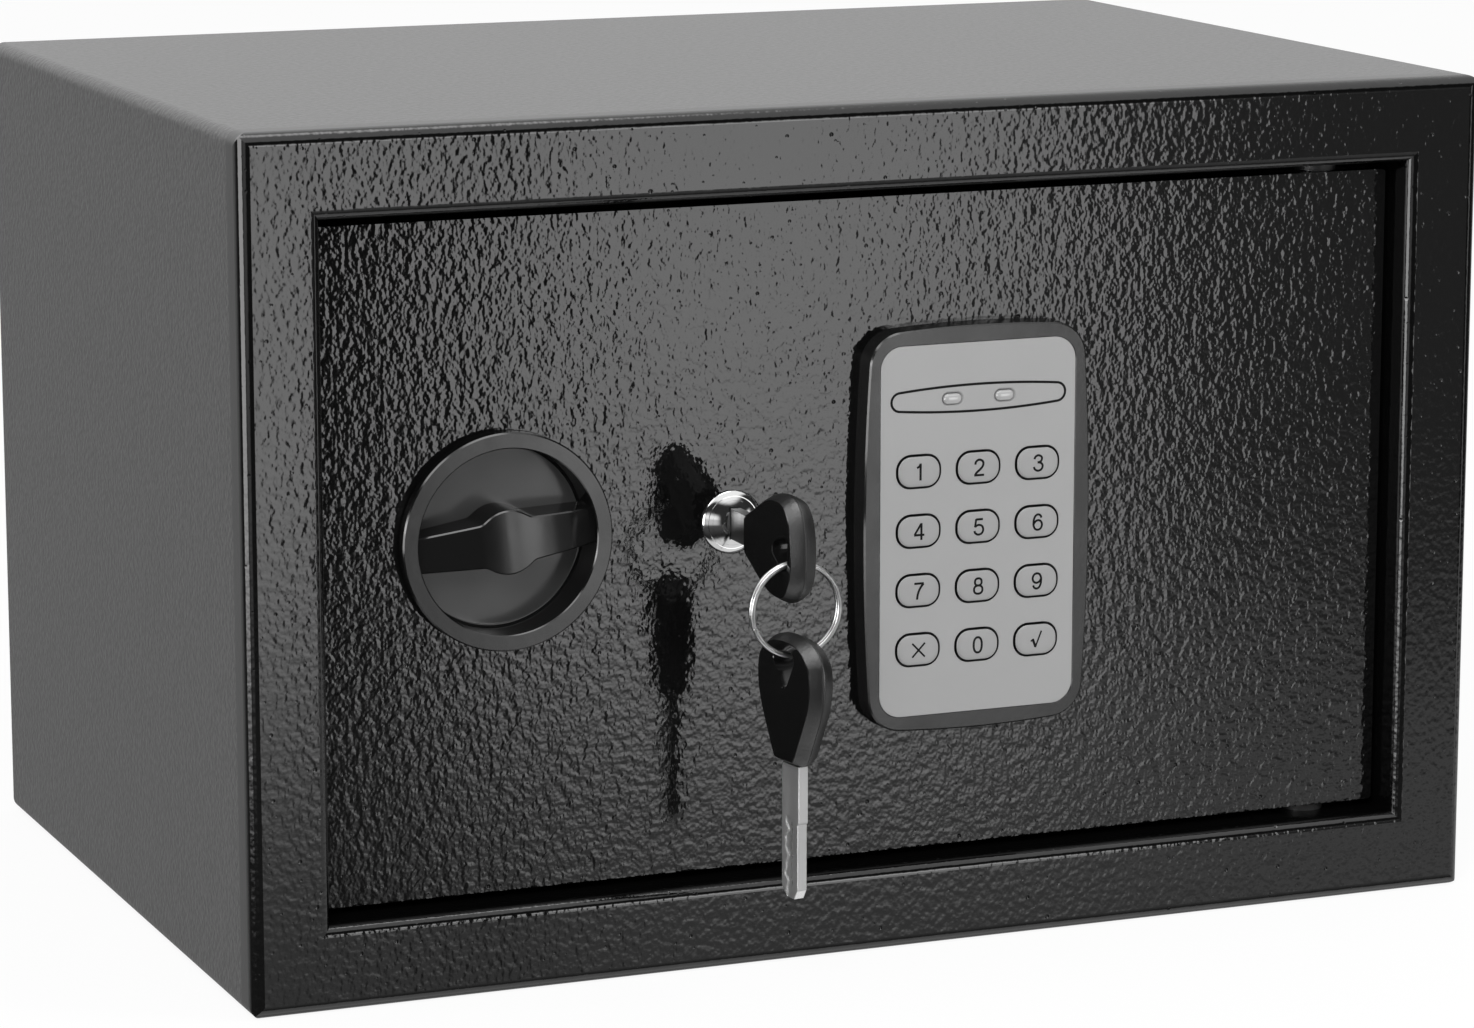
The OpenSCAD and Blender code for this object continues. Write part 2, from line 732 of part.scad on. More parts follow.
module cover_screws() {
    head_d = cover_screw_d + 3.5;
    head_h = 2.2;
    color([0.6, 0.6, 0.6]) for (p = posts) difference() {
        union() {
            bar_y(p[0], p[1], y_cover - cover_t - 8, y_cover, cover_screw_d - 2 * fit);
            bar_y(p[0], p[1], y_cover, y_cover + head_h, head_d);
        }
        slab(y_cover + head_h - 1.2, y_cover + head_h + eps) translate(p) {
            square([head_d * 0.55, 1], center = true);
            square([1, head_d * 0.55], center = true);
        }
    }
}

// Plastic bush in the door that the knob turns in
module knob_bush() {
    color([0.1, 0.1, 0.1]) difference() {
        union() {
            bar_y(knob_x, axis_z, y_face, y_plate + bush_flange, 2 * bush_r);
            bar_y(knob_x, axis_z, y_plate, y_plate + bush_flange, 2 * bush_r + 2.4);
        }
        bar_y(knob_x, axis_z, y_face - eps, y_plate + bush_flange + eps, cup_d + 2 * fit);
    }
}

// Point on the crowned front of the grip, for a share of its half length
crown_steps = 14;
function crown_point(share) = let (x = share * cup_d / 2)
    [x, y_hub + crown_r - sqrt(pow(crown_r, 2) - pow(x, 2))];

// Front outline of the grip: two tapering arms and a round hub, about the knob's axis
module grip_2d() {
    half = cup_d / 2;
    root = hub_d * 0.35;
    rotate(grip_tilt) intersection() {
        union() {
            circle(d = hub_d);
            polygon([[-half, -grip_end_w / 2], [-root, -grip_root_w / 2], [root, -grip_root_w / 2],
                [half, -grip_end_w / 2], [half, grip_end_w / 2], [root, grip_root_w / 2],
                [-root, grip_root_w / 2], [-half, grip_end_w / 2]]);
        }
        circle(d = dish_d + 1.6);
    }
}

module knob_dial() {
    rim_bevel = 0.8;
    color([0.13, 0.13, 0.13]) translate([knob_x, 0, axis_z]) difference() {
        union() {
            difference() {
                union() {
                    bar_y(0, 0, y_rim + rim_bevel, y_face - rim_gap, knob_d);
                    translate([0, y_rim, 0]) rotate([-90, 0, 0])
                        cylinder(h = rim_bevel, d1 = knob_d - 2 * rim_bevel, d2 = knob_d);
                    bar_y(0, 0, y_face - rim_gap - eps, y_knob_back, cup_d);
                }
                bar_y(0, 0, y_rim - eps, y_dish, dish_d);
                difference() {
                    bar_y(0, 0, y_plate + bush_flange + 0.1, y_plate + bush_flange + 1.3, cup_d + 2);
                    bar_y(0, 0, y_plate + bush_flange, y_plate + bush_flange + 2, cup_d - 0.8);
                }
            }
            intersection() {
                slab(y_hub - 1, y_dish + eps) grip_2d();
                rotate([0, -grip_tilt, 0]) linear_extrude(knob_d, center = true)
                    polygon(concat([for (i = [-crown_steps : crown_steps]) crown_point(i / crown_steps)],
                        [[cup_d / 2, y_dish + 1], [-cup_d / 2, y_dish + 1]]));
            }
        }
        slab(y_dish - 5, y_knob_back + eps)
            square(spindle_w + 2 * fit, center = true);
    }
}

module knob_spindle() {
    color([0.7, 0.7, 0.7]) translate([knob_x, 0, axis_z]) {
        slab(y_dish - 4.8, y_crank + crank_t) square(spindle_w, center = true);
        bar_y(0, 0, y_crank + crank_t - eps, y_crank + crank_t + 0.6, spindle_w);
    }
}

// Snap ring that keeps the knob behind its bush
module knob_clip() {
    y0 = y_plate + bush_flange + 0.1;
    color([0.7, 0.7, 0.7]) difference() {
        bar_y(knob_x, axis_z, y0, y0 + 1.2, cup_d + 4);
        bar_y(knob_x, axis_z, y0 - eps, y0 + 1.2 + eps, cup_d - 0.8);
    }
}

// Crank disc with its pin and the clip on the pin's end
module knob_crank() {
    color([0.6, 0.6, 0.62]) {
        difference() {
            bar_y(knob_x, axis_z, y_crank, y_crank + crank_t, crank_d);
            translate([knob_x, 0, axis_z]) slab(y_crank - eps, y_crank + crank_t + eps)
                square(spindle_w + 2 * fit, center = true);
        }
        bar_y(pin_x, pin_z0, y_crank + crank_t - eps, y_car_back + 0.5 + clip_h, crank_pin_d);
        bar_y(pin_x, pin_z0, y_car_back + 0.5, y_car_back + 0.5 + clip_h, crank_pin_d + 2 * clip_wall);
    }
}

// Front outline of the carriage without its slots
module carriage_2d() {
    main_x1 = stud_x + bolt_throw + stud_d / 2 + slot_gap + 2.6;
    mid_x1 = knob_x + 25;
    translate([flange_x, car_z0]) square([main_x1 - flange_x, car_z1 - car_z0]);
    translate([flange_x, car_z0]) square([mid_x1 - flange_x, edge_z - car_z0]);
    translate([flange_x, arm_z0]) square([arm_x1 - flange_x, edge_z - arm_z0]);
}

module bolt_carriage() {
    pin_slot = crank_pin_d + 2 * slot_gap;
    color([0.75, 0.75, 0.72]) difference() {
        union() {
            slab(y_car, y_car_back) carriage_2d();
            block(flange_x, flange_x + flange_t, bolt_y - bolt_d / 2 - 1, bolt_y + bolt_d / 2 + 1,
                car_z0, flange_z1);
        }
        slab(y_car - eps, y_car_back + eps) {
            for (z = stud_zs)
                slot(stud_x, stud_x + bolt_throw, z, stud_d + 2 * slot_gap);
            translate([pin_x, 0]) {
                translate([0, pin_z0 - 0.3]) circle(d = pin_slot);
                translate([0, pin_z1 + 0.3]) circle(d = pin_slot);
                translate([-pin_slot / 2, pin_z0 - 0.3]) square([pin_slot, pin_z1 - pin_z0 + 0.6]);
            }
            for (x = [plunger_x, plunger_x + bolt_throw])
                translate([x - notch_w / 2, edge_z - notch_deep]) square([notch_w, notch_deep + eps]);
        }
        for (z = bolt_zs) {
            bar_x(flange_x - eps, flange_x + flange_t + eps, bolt_y, z, 6.2);
            block(flange_x + flange_t - eps, flange_x + flange_t + 3.3, y_car - eps, y_car_back + eps,
                z - 5.4, z + 5.4);
        }
    }
}

module locking_bolts() {
    nose = 1.2;
    color([0.78, 0.78, 0.76]) for (z = bolt_zs) difference() {
        union() {
            bar_x(flange_x - bolt_len + nose, flange_x, bolt_y, z, bolt_d);
            translate([flange_x - bolt_len, bolt_y, z]) rotate([0, 90, 0])
                cylinder(h = nose, d1 = bolt_d - 2 * nose, d2 = bolt_d);
        }
        bar_x(flange_x - 12, flange_x + eps, bolt_y, z, 6.1);
    }
}

module bolt_screws() {
    color([0.6, 0.6, 0.6]) for (z = bolt_zs) {
        bar_x(flange_x - 11, flange_x + flange_t, bolt_y, z, 6);
        translate([flange_x + flange_t, bolt_y, z]) rotate([0, 90, 0])
            cylinder(h = 3, d = 9.5, $fn = 6);
    }
}

// Bracket on the door plate that the bolts slide through
module bolt_guide() {
    foot = 5;
    z0 = bolt_zs[0] - bolt_d / 2 - 3;
    z1 = bolt_zs[1] + bolt_d / 2 + 3;
    color([0.75, 0.75, 0.72]) difference() {
        union() {
            block(guide_x, guide_x + guide_t, y_plate, bolt_y + bolt_d / 2 + 2.5, z0, z1);
            block(guide_x, guide_x + foot, y_plate, y_plate + 2, z0, z1);
        }
        for (z = bolt_zs)
            bar_x(guide_x - eps, guide_x + guide_t + eps, bolt_y, z, bolt_d + 2 * fit);
    }
}

// Headed studs that hold the carriage to the door and let it slide
module guide_studs() {
    y_collar = y_plate + bush_flange + 1.6;
    color([0.7, 0.7, 0.7]) for (z = stud_zs) {
        bar_y(stud_x, z, y_plate, y_collar + eps, stud_d);
        bar_y(stud_x, z, y_collar, y_car - 0.3, stud_d + 3);
        bar_y(stud_x, z, y_car - 0.3 - eps, y_car_back + 0.4, stud_d);
        bar_y(stud_x, z, y_car_back + 0.4, y_car_back + 0.4 + stud_head, stud_d + 3);
    }
}

module solenoid_frame() {
    half = solenoid_w / 2;
    y1 = plunger_y + half - 2;
    color([0.65, 0.65, 0.66]) difference() {
        union() {
            block(plunger_x - half, plunger_x + half, y_plate, y_plate + 1.2, sol_z, sol_z + solenoid_h);
            for (z = [sol_z, sol_z + solenoid_h - solenoid_t])
                block(plunger_x - half, plunger_x + half, y_plate, y1, z, z + solenoid_t);
        }
        bar_z(plunger_x, plunger_y, sol_z - eps, sol_z + solenoid_h + eps, plunger_d + 2 * fit);
    }
}

module solenoid_coil() {
    z0 = sol_z + solenoid_t;
    z1 = sol_z + solenoid_h - solenoid_t;
    bobbin = 1.5;
    color([0.55, 0.3, 0.12]) difference() {
        union() {
            bar_z(plunger_x, plunger_y, z0, z0 + bobbin, 2 * coil_r);
            bar_z(plunger_x, plunger_y, z0 + bobbin - eps, z1 - bobbin + eps, 2 * (coil_r - coil_wall));
            bar_z(plunger_x, plunger_y, z1 - bobbin, z1, 2 * coil_r);
        }
        bar_z(plunger_x, plunger_y, z0 - eps, z1 + eps, plunger_d + 2 * fit);
    }
}

module plunger_spring() {
    color([0.7, 0.7, 0.7]) difference() {
        bar_z(plunger_x, plunger_y, collar_z + collar_h + spring_gap, sol_z, plunger_d + 3);
        bar_z(plunger_x, plunger_y, 0, body_h, plunger_d + 0.6);
    }
}

// Plunger with its collar and the lever that the lock's cam lifts
module solenoid_plunger() {
    lever_y = [y_plug_back + 0.2, y_plug_back + 0.2 + cam_t];
    strip = 4.5;
    color([0.72, 0.72, 0.72]) {
        bar_z(plunger_x, plunger_y, edge_z + 0.5, sol_z + solenoid_h + 2, plunger_d);
        bar_z(plunger_x, plunger_y, collar_z, collar_z + collar_h, 2 * collar_r);
        block(plunger_x - strip, plunger_x + strip, plunger_y, lever_y[1], collar_z, collar_z + collar_h);
        block(plunger_x - strip, plunger_x + strip, lever_y[0], lever_y[1], lever_z,
            collar_z + collar_h);
        block(plunger_x - strip, lever_x1, lever_y[0], lever_y[1], lever_z, lever_z + lever_h);
    }
}

module lock_housing() {
    color([0.85, 0.85, 0.86]) difference() {
        union() {
            bar_y(lock_x, axis_z, y_lock, y_face, lock_d);
            bar_y(lock_x, axis_z, y_face - eps, y_plug_back - 1, lock_body_d);
        }
        bar_y(lock_x, axis_z, y_lock - eps, y_plug_back, plug_d + 2 * fit);
        bar_y(lock_x, axis_z, y_lock - eps, y_lock + 1.2 + fit, plug_face_d + 2 * fit);
    }
}

module lock_nut() {
    color([0.7, 0.7, 0.68]) difference() {
        bar_y(lock_x, axis_z, y_plate, y_plate + 3, 20, 6);
        bar_y(lock_x, axis_z, y_plate - eps, y_plate + 3 + eps, lock_body_d + 2 * fit);
    }
}

module lock_plug() {
    y_slot = y_head + blade_len + 0.3;
    color([0.85, 0.85, 0.86]) difference() {
        union() {
            bar_y(lock_x, axis_z, y_lock, y_lock + 1.2, plug_face_d);
            bar_y(lock_x, axis_z, y_lock + 1.2 - eps, y_plug_back, plug_d);
            translate([lock_x, 0, axis_z]) slab(y_plug_back - eps, y_plug_back + 0.2 + cam_t)
                square(tail_w, center = true);
            bar_y(lock_x, axis_z, y_plug_back + 0.2 + cam_t - eps,
                y_plug_back + 0.2 + cam_t + cam_nut_h + 0.6, tail_thread_d);
        }
        translate([lock_x, 0, axis_z]) slab(y_lock - eps, y_slot)
            square([blade_t + 2 * keyway_gap, blade_w + 2 * keyway_gap], center = true);
    }
}

// Cam that hangs down at rest and swings towards the knob as the key turns
module lock_cam() {
    color([0.7, 0.7, 0.68]) translate([lock_x, 0, axis_z]) difference() {
        slab(y_plug_back + 0.2, y_plug_back + 0.2 + cam_t) difference() {
            union() {
                circle(d = 13);
                translate([-cam_w / 2, -cam_reach + cam_w / 2]) square([cam_w, cam_reach - cam_w / 2]);
                translate([0, -cam_reach + cam_w / 2]) circle(d = cam_w);
            }
            square(tail_w + 2 * fit, center = true);
        }
    }
}

module cam_nut() {
    y0 = y_plug_back + 0.2 + cam_t;
    color([0.7, 0.7, 0.68]) difference() {
        bar_y(lock_x, axis_z, y0, y0 + cam_nut_h, cam_nut_w / cos(30), 6);
        bar_y(lock_x, axis_z, y0 - eps, y0 + cam_nut_h + eps, tail_thread_d + 2 * fit);
    }
}

// Key blade along +Z from the head's neck at the origin, flat in Y and Z
module blade() {
    tip = 2.4;
    step_at = blade_len * 0.42;
    step = 0.5;
    groove = 1.2;
    difference() {
        translate([blade_t / 2, 0, 0]) rotate([0, -90, 0]) linear_extrude(blade_t)
            polygon([[0, -blade_w / 2], [blade_len - tip, -blade_w / 2], [blade_len, -blade_w / 2 + tip],
                [blade_len, blade_w / 2 - step - tip], [blade_len - tip, blade_w / 2 - step],
                [step_at, blade_w / 2 - step], [step_at, blade_w / 2], [0, blade_w / 2]]);
        for (x = [-1, 1]) translate([x * blade_t / 2, 0, blade_len / 2 + step_at])
            cube([1, groove, blade_len], center = true);
    }
}

// Outline of a key's head: round end at the origin's side, neck at head_len
module head_2d(inset) {
    r = head_w * 0.36 - inset;
    shoulder = head_w * 0.36;
    half = head_w / 2 - inset;
    neck = head_neck_w / 2 - inset;
    hull() {
        translate([shoulder, half - r]) circle(r, $fn = 32);
        translate([shoulder, -half + r]) circle(r, $fn = 32);
        translate([head_len - 2 - inset, neck - 2]) circle(2, $fn = 16);
        translate([head_len - 2 - inset, -neck + 2]) circle(2, $fn = 16);
        translate([shoulder + r * 0.7, -half]) square([eps, 2 * half]);
    }
}

// Ring's hole: two round corners towards the round end, tapering to the blade
module head_hole_2d() {
    r = hole_r;
    half = head_hole_w / 2;
    translate([head_hole_wall + r, half - r]) circle(r);
    translate([head_hole_wall + r, r - half]) circle(r);
    translate([head_hole_wall, r - half]) square([r, head_hole_w - 2 * r]);
    polygon([[head_hole_wall + r, half], [head_hole_wall + r, -half],
        [head_hole_wall + r + 1, -half + 0.1], [head_hole_wall + head_hole_len, -0.6],
        [head_hole_wall + head_hole_len, 0.6], [head_hole_wall + r + 1, half - 0.1]]);
}

// Key head with its round end at z = 0 and its neck at z = head_len, flat in Y and Z
module head() {
    difference() {
        hull() {
            translate([head_t / 2 - head_chamfer, 0, 0]) rotate([0, -90, 0])
                linear_extrude(head_t - 2 * head_chamfer) head_2d(0);
            translate([head_t / 2, 0, 0]) rotate([0, -90, 0])
                linear_extrude(head_t) head_2d(head_chamfer);
        }
        translate([head_t / 2 + 1, 0, 0]) rotate([0, -90, 0]) linear_extrude(head_t + 2)
            head_hole_2d();
    }
}

// Places the round end of the key in the lock, pointing out of the door
module in_lock() {
    translate([lock_x, y_head - head_len, axis_z]) rotate([-90, 0, 0]) children();
}

// Places the round end of the spare key on the ring, hanging down
module on_ring() {
    translate([lock_x, ring_y, spare_top_z]) rotate([180, 0, spare_twist]) children();
}

module key_blade() {
    color([0.75, 0.75, 0.75]) in_lock() translate([0, 0, head_len]) blade();
}

module key_head() {
    color([0.1, 0.1, 0.1]) in_lock() head();
}

module spare_key_blade() {
    color([0.75, 0.75, 0.75]) on_ring() translate([0, 0, head_len]) blade();
}

module spare_key_head() {
    color([0.1, 0.1, 0.1]) on_ring() head();
}

// Split ring: two turns side by side
module key_ring() {
    turn_off = (ring_width - ring_wire) / 2;
    color([0.8, 0.8, 0.8]) translate([lock_x, ring_y, ring_z]) rotate([90, 0, 0])
        for (side = [-1, 1]) rotate_extrude($fn = 96)
            translate([ring_r, side * turn_off]) circle(d = ring_wire);
}

module key_hole_2d(i, gap) {
    translate([key_x(i), key_z(i)]) round_rect(cap_w + 2 * gap, cap_h + 2 * gap, cap_r + gap);
}

module lamp_2d(gap) {
    for (x = [-1, 1] * lamp_pitch / 2)
        slot(pad_x + x - (lamp_w - lamp_h) / 2, pad_x + x + (lamp_w - lamp_h) / 2, pad_z + lamp_up,
            lamp_h + 2 * gap);
}

module pad_holes_2d() {
    for (i = [0 : len(KEYS) - 1])
        key_hole_2d(i, cap_gap);
    lamp_2d(0.2);
}

module keypad_housing() {
    plate_w = pad_w - 2 * pad_rim;
    plate_h = pad_h - 2 * pad_rim;
    color([0.12, 0.12, 0.12]) difference() {
        union() {
            difference() {
                slab(y_pad, y_face) translate([pad_x, pad_z])
                    bowed_rect(pad_w, pad_h, pad_r, pad_side_r, pad_end_r);
                slab(y_web_back, y_face + eps) translate([pad_x, pad_z])
                    bowed_rect(pad_w - 2 * pad_wall, pad_h - 2 * pad_wall, pad_r - pad_wall,
                        pad_side_r - pad_wall, pad_end_r - pad_wall);
            }
            for (p = pad_screws)
                bar_y(p[0], p[1], y_web_back - eps, y_face, 2 * boss_r);
        }
        slab(y_pad - eps, y_web) translate([pad_x, pad_z]) round_rect(plate_w, plate_h, plate_r);
        slab(y_web - eps, y_web_back + eps) pad_holes_2d();
        for (p = pad_screws)
            bar_y(p[0], p[1], y_face - pad_screw_grip - 0.2, y_face + eps, pad_screw_d);
    }
}

module keypad_faceplate() {
    color([0.62, 0.62, 0.62]) slab(y_pad, y_web) difference() {
        translate([pad_x, pad_z]) round_rect(pad_w - 2 * pad_rim - 0.1, pad_h - 2 * pad_rim - 0.1,
            plate_r - 0.05);
        pad_holes_2d();
    }
}

module key_membrane() {
    color([0.3, 0.3, 0.3]) slab(y_mat, y_board) difference() {
        translate([pad_x, pad_z]) round_rect(board_w, board_h, 2);
        lamp_2d(0.3);
    }
}

module keypad_board() {
    color([0.1, 0.35, 0.2]) difference() {
        union() {
            slab(y_board, y_board + pad_board_t) translate([pad_x, pad_z]) round_rect(board_w, board_h, 2);
            block(pad_x - 6, pad_x + 6, y_board + pad_board_t - eps, y_face + 0.5, cable_z - 2.5, cable_z + 2.5);
        }
        slab(y_board - eps, y_board + 0.6) lamp_2d(0.3);
    }
}

module led_lenses() {
    color([0.9, 0.9, 0.9]) slab(y_pad - lamp_proud, y_board + 0.6) lamp_2d(0);
}

module keypad_screws() {
    color([0.6, 0.6, 0.6]) for (p = pad_screws) {
        bar_y(p[0], p[1], y_face - pad_screw_grip, y_plate, pad_screw_d - 2 * fit);
        bar_y(p[0], p[1], y_plate, y_plate + pad_screw_head_h, pad_screw_head_d);
    }
}

// One key cap with the flange that keeps it behind the web
module key_cap(i) {
    crown = 0.3;
    color([0.62, 0.62, 0.62]) {
        slab(y_pad - cap_proud + crown, y_web_back + fit + eps) key_hole_2d(i, 0);
        slab(y_pad - cap_proud, y_pad - cap_proud + crown + eps) key_hole_2d(i, -0.5);
        slab(y_web_back + fit, y_cap_back) key_hole_2d(i, 0.95);
    }
}

module key_1() { key_cap(0); }
module key_2() { key_cap(1); }
module key_3() { key_cap(2); }
module key_4() { key_cap(3); }
module key_5() { key_cap(4); }
module key_6() { key_cap(5); }
module key_7() { key_cap(6); }
module key_8() { key_cap(7); }
module key_9() { key_cap(8); }
module key_clear() { key_cap(9); }
module key_0() { key_cap(10); }
module key_enter() { key_cap(11); }

// Control board with its chip, its relay and its two sockets, each given as x, z, width, height, thickness
module control_board() {
    board_top = y_ctrl + board_t;
    color([0.1, 0.35, 0.2]) {
        block(ctrl_x0, ctrl_x1, y_ctrl, board_top, ctrl_z0, ctrl_z1);
        for (p = [chip, relay, pad_socket, cell_socket])
            block(ctrl_x0 + p[0], ctrl_x0 + p[0] + p[2], board_top - eps, board_top + p[4],
                ctrl_z0 + p[1], ctrl_z0 + p[1] + p[3]);
    }
}

module battery_box() {
    reset_block = 5;
    color([0.14, 0.14, 0.14]) difference() {
        union() {
            block(tray_x0, tray_x1, y_tray, y_tray_back, tray_z0, tray_z1);
            block(reset_x - reset_block, tray_x0 + eps, y_tray_back - 9, y_tray_back,
                reset_z - reset_block, reset_z + reset_block);
        }
        block(tray_x0 + tray_wall, tray_x1 - tray_wall, y_tray + tray_wall, y_tray_back + eps,
            tray_z0 + tray_wall, tray_z1 - tray_wall);
        bar_y(reset_x, reset_z, y_tray_back - 7, y_tray_back - reset_lip, reset_d + reset_collar + 2 * fit);
        bar_y(reset_x, reset_z, y_tray_back - 3, y_tray_back + eps, reset_d + 2 * fit);
    }
}

module batteries() {
    y0 = y_tray + tray_wall + cell_d / 2;
    z0 = (tray_z0 + tray_z1) / 2 - cell_len / 2;
    nub = 1.2;
    color([0.25, 0.35, 0.3]) for (i = [0 : 3]) {
        up = i % 2;
        x = tray_x0 + tray_wall + (i + 0.5) * cell_pitch;
        bar_z(x, y0, z0 + (1 - up) * nub, z0 + cell_len - up * nub, cell_d);
        bar_z(x, y0, up ? z0 + cell_len - nub - eps : z0, up ? z0 + cell_len : z0 + nub + eps, 5.5);
    }
}

// Sheet contacts at both ends of the cells
module battery_contacts() {
    z0 = (tray_z0 + tray_z1) / 2 - cell_len / 2;
    z1 = z0 + cell_len;
    y0 = y_tray + tray_wall + contact_in;
    y1 = y0 + contact_w;
    tab_y = y0 + tab_w / 2;
    ends = [z0 - contact_t, z1];
    x0 = tray_x0 + tray_wall + contact_gap / 2;
    step = 2 * cell_pitch;
    color([0.8, 0.8, 0.75]) {
        for (i = [0, 1])
            block(x0 + i * step, x0 + (i + 1) * step - contact_gap, y0, y1, ends[0], ends[0] + contact_t);
        for (x = [x0, x0 + 3 * cell_pitch])
            block(x, x + cell_pitch - contact_gap, y0, y1, ends[1], ends[1] + contact_t);
        block(x0 + cell_pitch, x0 + 3 * cell_pitch - contact_gap, y0, y1, ends[1], ends[1] + contact_t);
        for (x = [x0 + tab_w, x0 + tab_w + step])
            block(x, x + tab_w, tab_y, tab_y + tab_w, tray_z0 + tray_wall, ends[0] + eps);
        for (x = [x0 + tab_w, x0 + tab_w + 3 * cell_pitch, x0 + tab_w + cell_pitch])
            block(x, x + tab_w, tab_y, tab_y + tab_w, ends[1] + contact_t - eps, tray_z1 - tray_wall);
    }
}

module battery_cover() {
    lip = 3;
    seat = 0.3;
    ribs = 4;
    color([0.14, 0.14, 0.14]) {
        block(tray_x0 + tray_wall - lip, tray_x1 - tray_wall + lip, y_cover, y_cover + lid_t,
            tray_z0 + tray_wall - lip, tray_z1 - tray_wall + lip);
        block(tray_x0 + tray_wall + seat, tray_x1 - tray_wall - seat, y_cover - cover_t + 0.2,
            y_cover + eps, tray_z0 + tray_wall + seat, tray_z1 - tray_wall - seat);
        for (i = [0 : ribs - 1])
            block((tray_x0 + tray_x1) / 2 - 8, (tray_x0 + tray_x1) / 2 + 8, y_cover + lid_t - eps,
                y_cover + lid_t + 0.6, tray_z1 - 9 - i * 2.4, tray_z1 - 8 - i * 2.4);
    }
}

module reset_button() {
    y0 = y_tray_back - 7 + reset_travel + 0.2;
    color([0.7, 0.1, 0.1]) {
        bar_y(reset_x, reset_z, y0, y_cover + 1.8, reset_d);
        bar_y(reset_x, reset_z, y0, y_tray_back - reset_lip - fit, reset_d + reset_collar);
    }
}

// A loom through a list of points that runs along the axes, with a square clip at each bend
module wire(points, d) {
    for (i = [0 : len(points) - 2]) {
        a = points[i];
        v = points[i + 1] - a;
        translate(a) rotate([0, acos(v[2] / norm(v)), atan2(v[1], v[0])])
            cylinder(h = norm(v), d = d);
    }
    for (i = [1 : len(points) - 2])
        translate(points[i]) cube(d * 1.2, center = true);
}

// Cable to the keypad, wires to the solenoid and wires to the batteries
module wiring() {
    run_y = y_ctrl + board_t + loom_up;
    sol_zm = sol_z + solenoid_h / 2;
    bat_x = ctrl_x0 + cell_socket[0] + cell_socket[2] / 2;
    color([0.6, 0.1, 0.1]) {
        wire([[pad_x, y_face + 0.5, cable_z], [pad_x, y_plate + loom_low, cable_z],
            [ctrl_x0 - loom_up, y_plate + loom_low, cable_z], [ctrl_x0 - loom_up, run_y, cable_z],
            [ctrl_x0 + pad_socket[0], run_y, cable_z]], loom_d);
        wire([[ctrl_x0 + pad_socket[0], run_y, cable_z + loom_up], [ctrl_x0 - 2 * loom_up, run_y, cable_z + loom_up],
            [ctrl_x0 - 2 * loom_up, run_y, sol_zm], [plunger_x + coil_r - coil_wall, run_y, sol_zm]], loom_d);
        wire([[bat_x, run_y, ctrl_z0 + cell_socket[1]], [bat_x, run_y, tray_z1 + loom_up],
            [bat_x, y_tray + loom_up, tray_z1 + loom_up], [bat_x, y_tray + loom_up, tray_z1]], loom_d);
    }
}

body_shell();
front_frame();
back_panel();
floor_mat();
hinge_brackets();
hinge_pins();
hinge_washers();
door_plate();
hinge_lugs();
door_cover();
cover_screws();
knob_bush();
lock_housing();
lock_nut();
keypad_housing();
keypad_faceplate();
key_membrane();
keypad_board();
led_lenses();
keypad_screws();
control_board();
battery_box();
batteries();
battery_contacts();
battery_cover();
reset_button();
solenoid_frame();
solenoid_coil();
plunger_spring();
solenoid_plunger();
bolt_guide();
guide_studs();
wiring();
knob_dial();
knob_spindle();
knob_clip();
knob_crank();
bolt_carriage();
locking_bolts();
bolt_screws();
lock_plug();
lock_cam();
cam_nut();
key_blade();
key_head();
key_ring();
spare_key_blade();
spare_key_head();
key_1();
key_2();
key_3();
key_4();
key_5();
key_6();
key_7();
key_8();
key_9();
key_clear();
key_0();
key_enter();
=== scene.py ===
# Looks of the small electronic safe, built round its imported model.
# Sizes are written in millimetres in the model's frame and turned into metres as each mesh is made.
import math

import bmesh
import bpy
from mathutils import Matrix, Vector


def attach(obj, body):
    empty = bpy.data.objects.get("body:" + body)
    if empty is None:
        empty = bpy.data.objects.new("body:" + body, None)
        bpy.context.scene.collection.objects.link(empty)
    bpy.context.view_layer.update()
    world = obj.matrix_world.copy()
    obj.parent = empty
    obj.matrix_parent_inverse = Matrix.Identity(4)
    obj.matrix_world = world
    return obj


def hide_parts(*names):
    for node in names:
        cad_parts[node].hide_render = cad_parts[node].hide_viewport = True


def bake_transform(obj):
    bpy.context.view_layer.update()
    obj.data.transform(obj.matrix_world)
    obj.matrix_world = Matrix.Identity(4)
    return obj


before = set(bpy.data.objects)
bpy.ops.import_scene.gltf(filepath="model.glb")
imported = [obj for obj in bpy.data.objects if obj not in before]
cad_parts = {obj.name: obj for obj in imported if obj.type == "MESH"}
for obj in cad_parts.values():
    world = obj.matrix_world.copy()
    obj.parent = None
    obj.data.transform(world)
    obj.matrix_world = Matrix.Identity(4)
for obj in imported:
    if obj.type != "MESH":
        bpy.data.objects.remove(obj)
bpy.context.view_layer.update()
MM = 0.001


# Camera, fitted to the photograph: place in metres, turn to the right and drop in degrees

CAMERA_PLACE = (-0.4813, -1.1811, 0.3347)
CAMERA_TURN, CAMERA_DROP = 22.41, 11.05
SENSOR_WIDTH, FOCAL_LENGTH = 36.0, 126.67


def make_camera():
    turn = math.radians(CAMERA_TURN)
    drop = math.radians(CAMERA_DROP)
    ahead = Vector((math.sin(turn) * math.cos(drop), math.cos(turn) * math.cos(drop), -math.sin(drop)))
    data = bpy.data.cameras.new("camera")
    data.sensor_width = SENSOR_WIDTH
    data.lens = FOCAL_LENGTH
    data.clip_start = 0.01
    camera = bpy.data.objects.new("camera", data)
    camera.location = CAMERA_PLACE
    camera.rotation_euler = ahead.to_track_quat("-Z", "Y").to_euler()
    bpy.context.scene.collection.objects.link(camera)
    bpy.context.scene.camera = camera


# Shader graphs

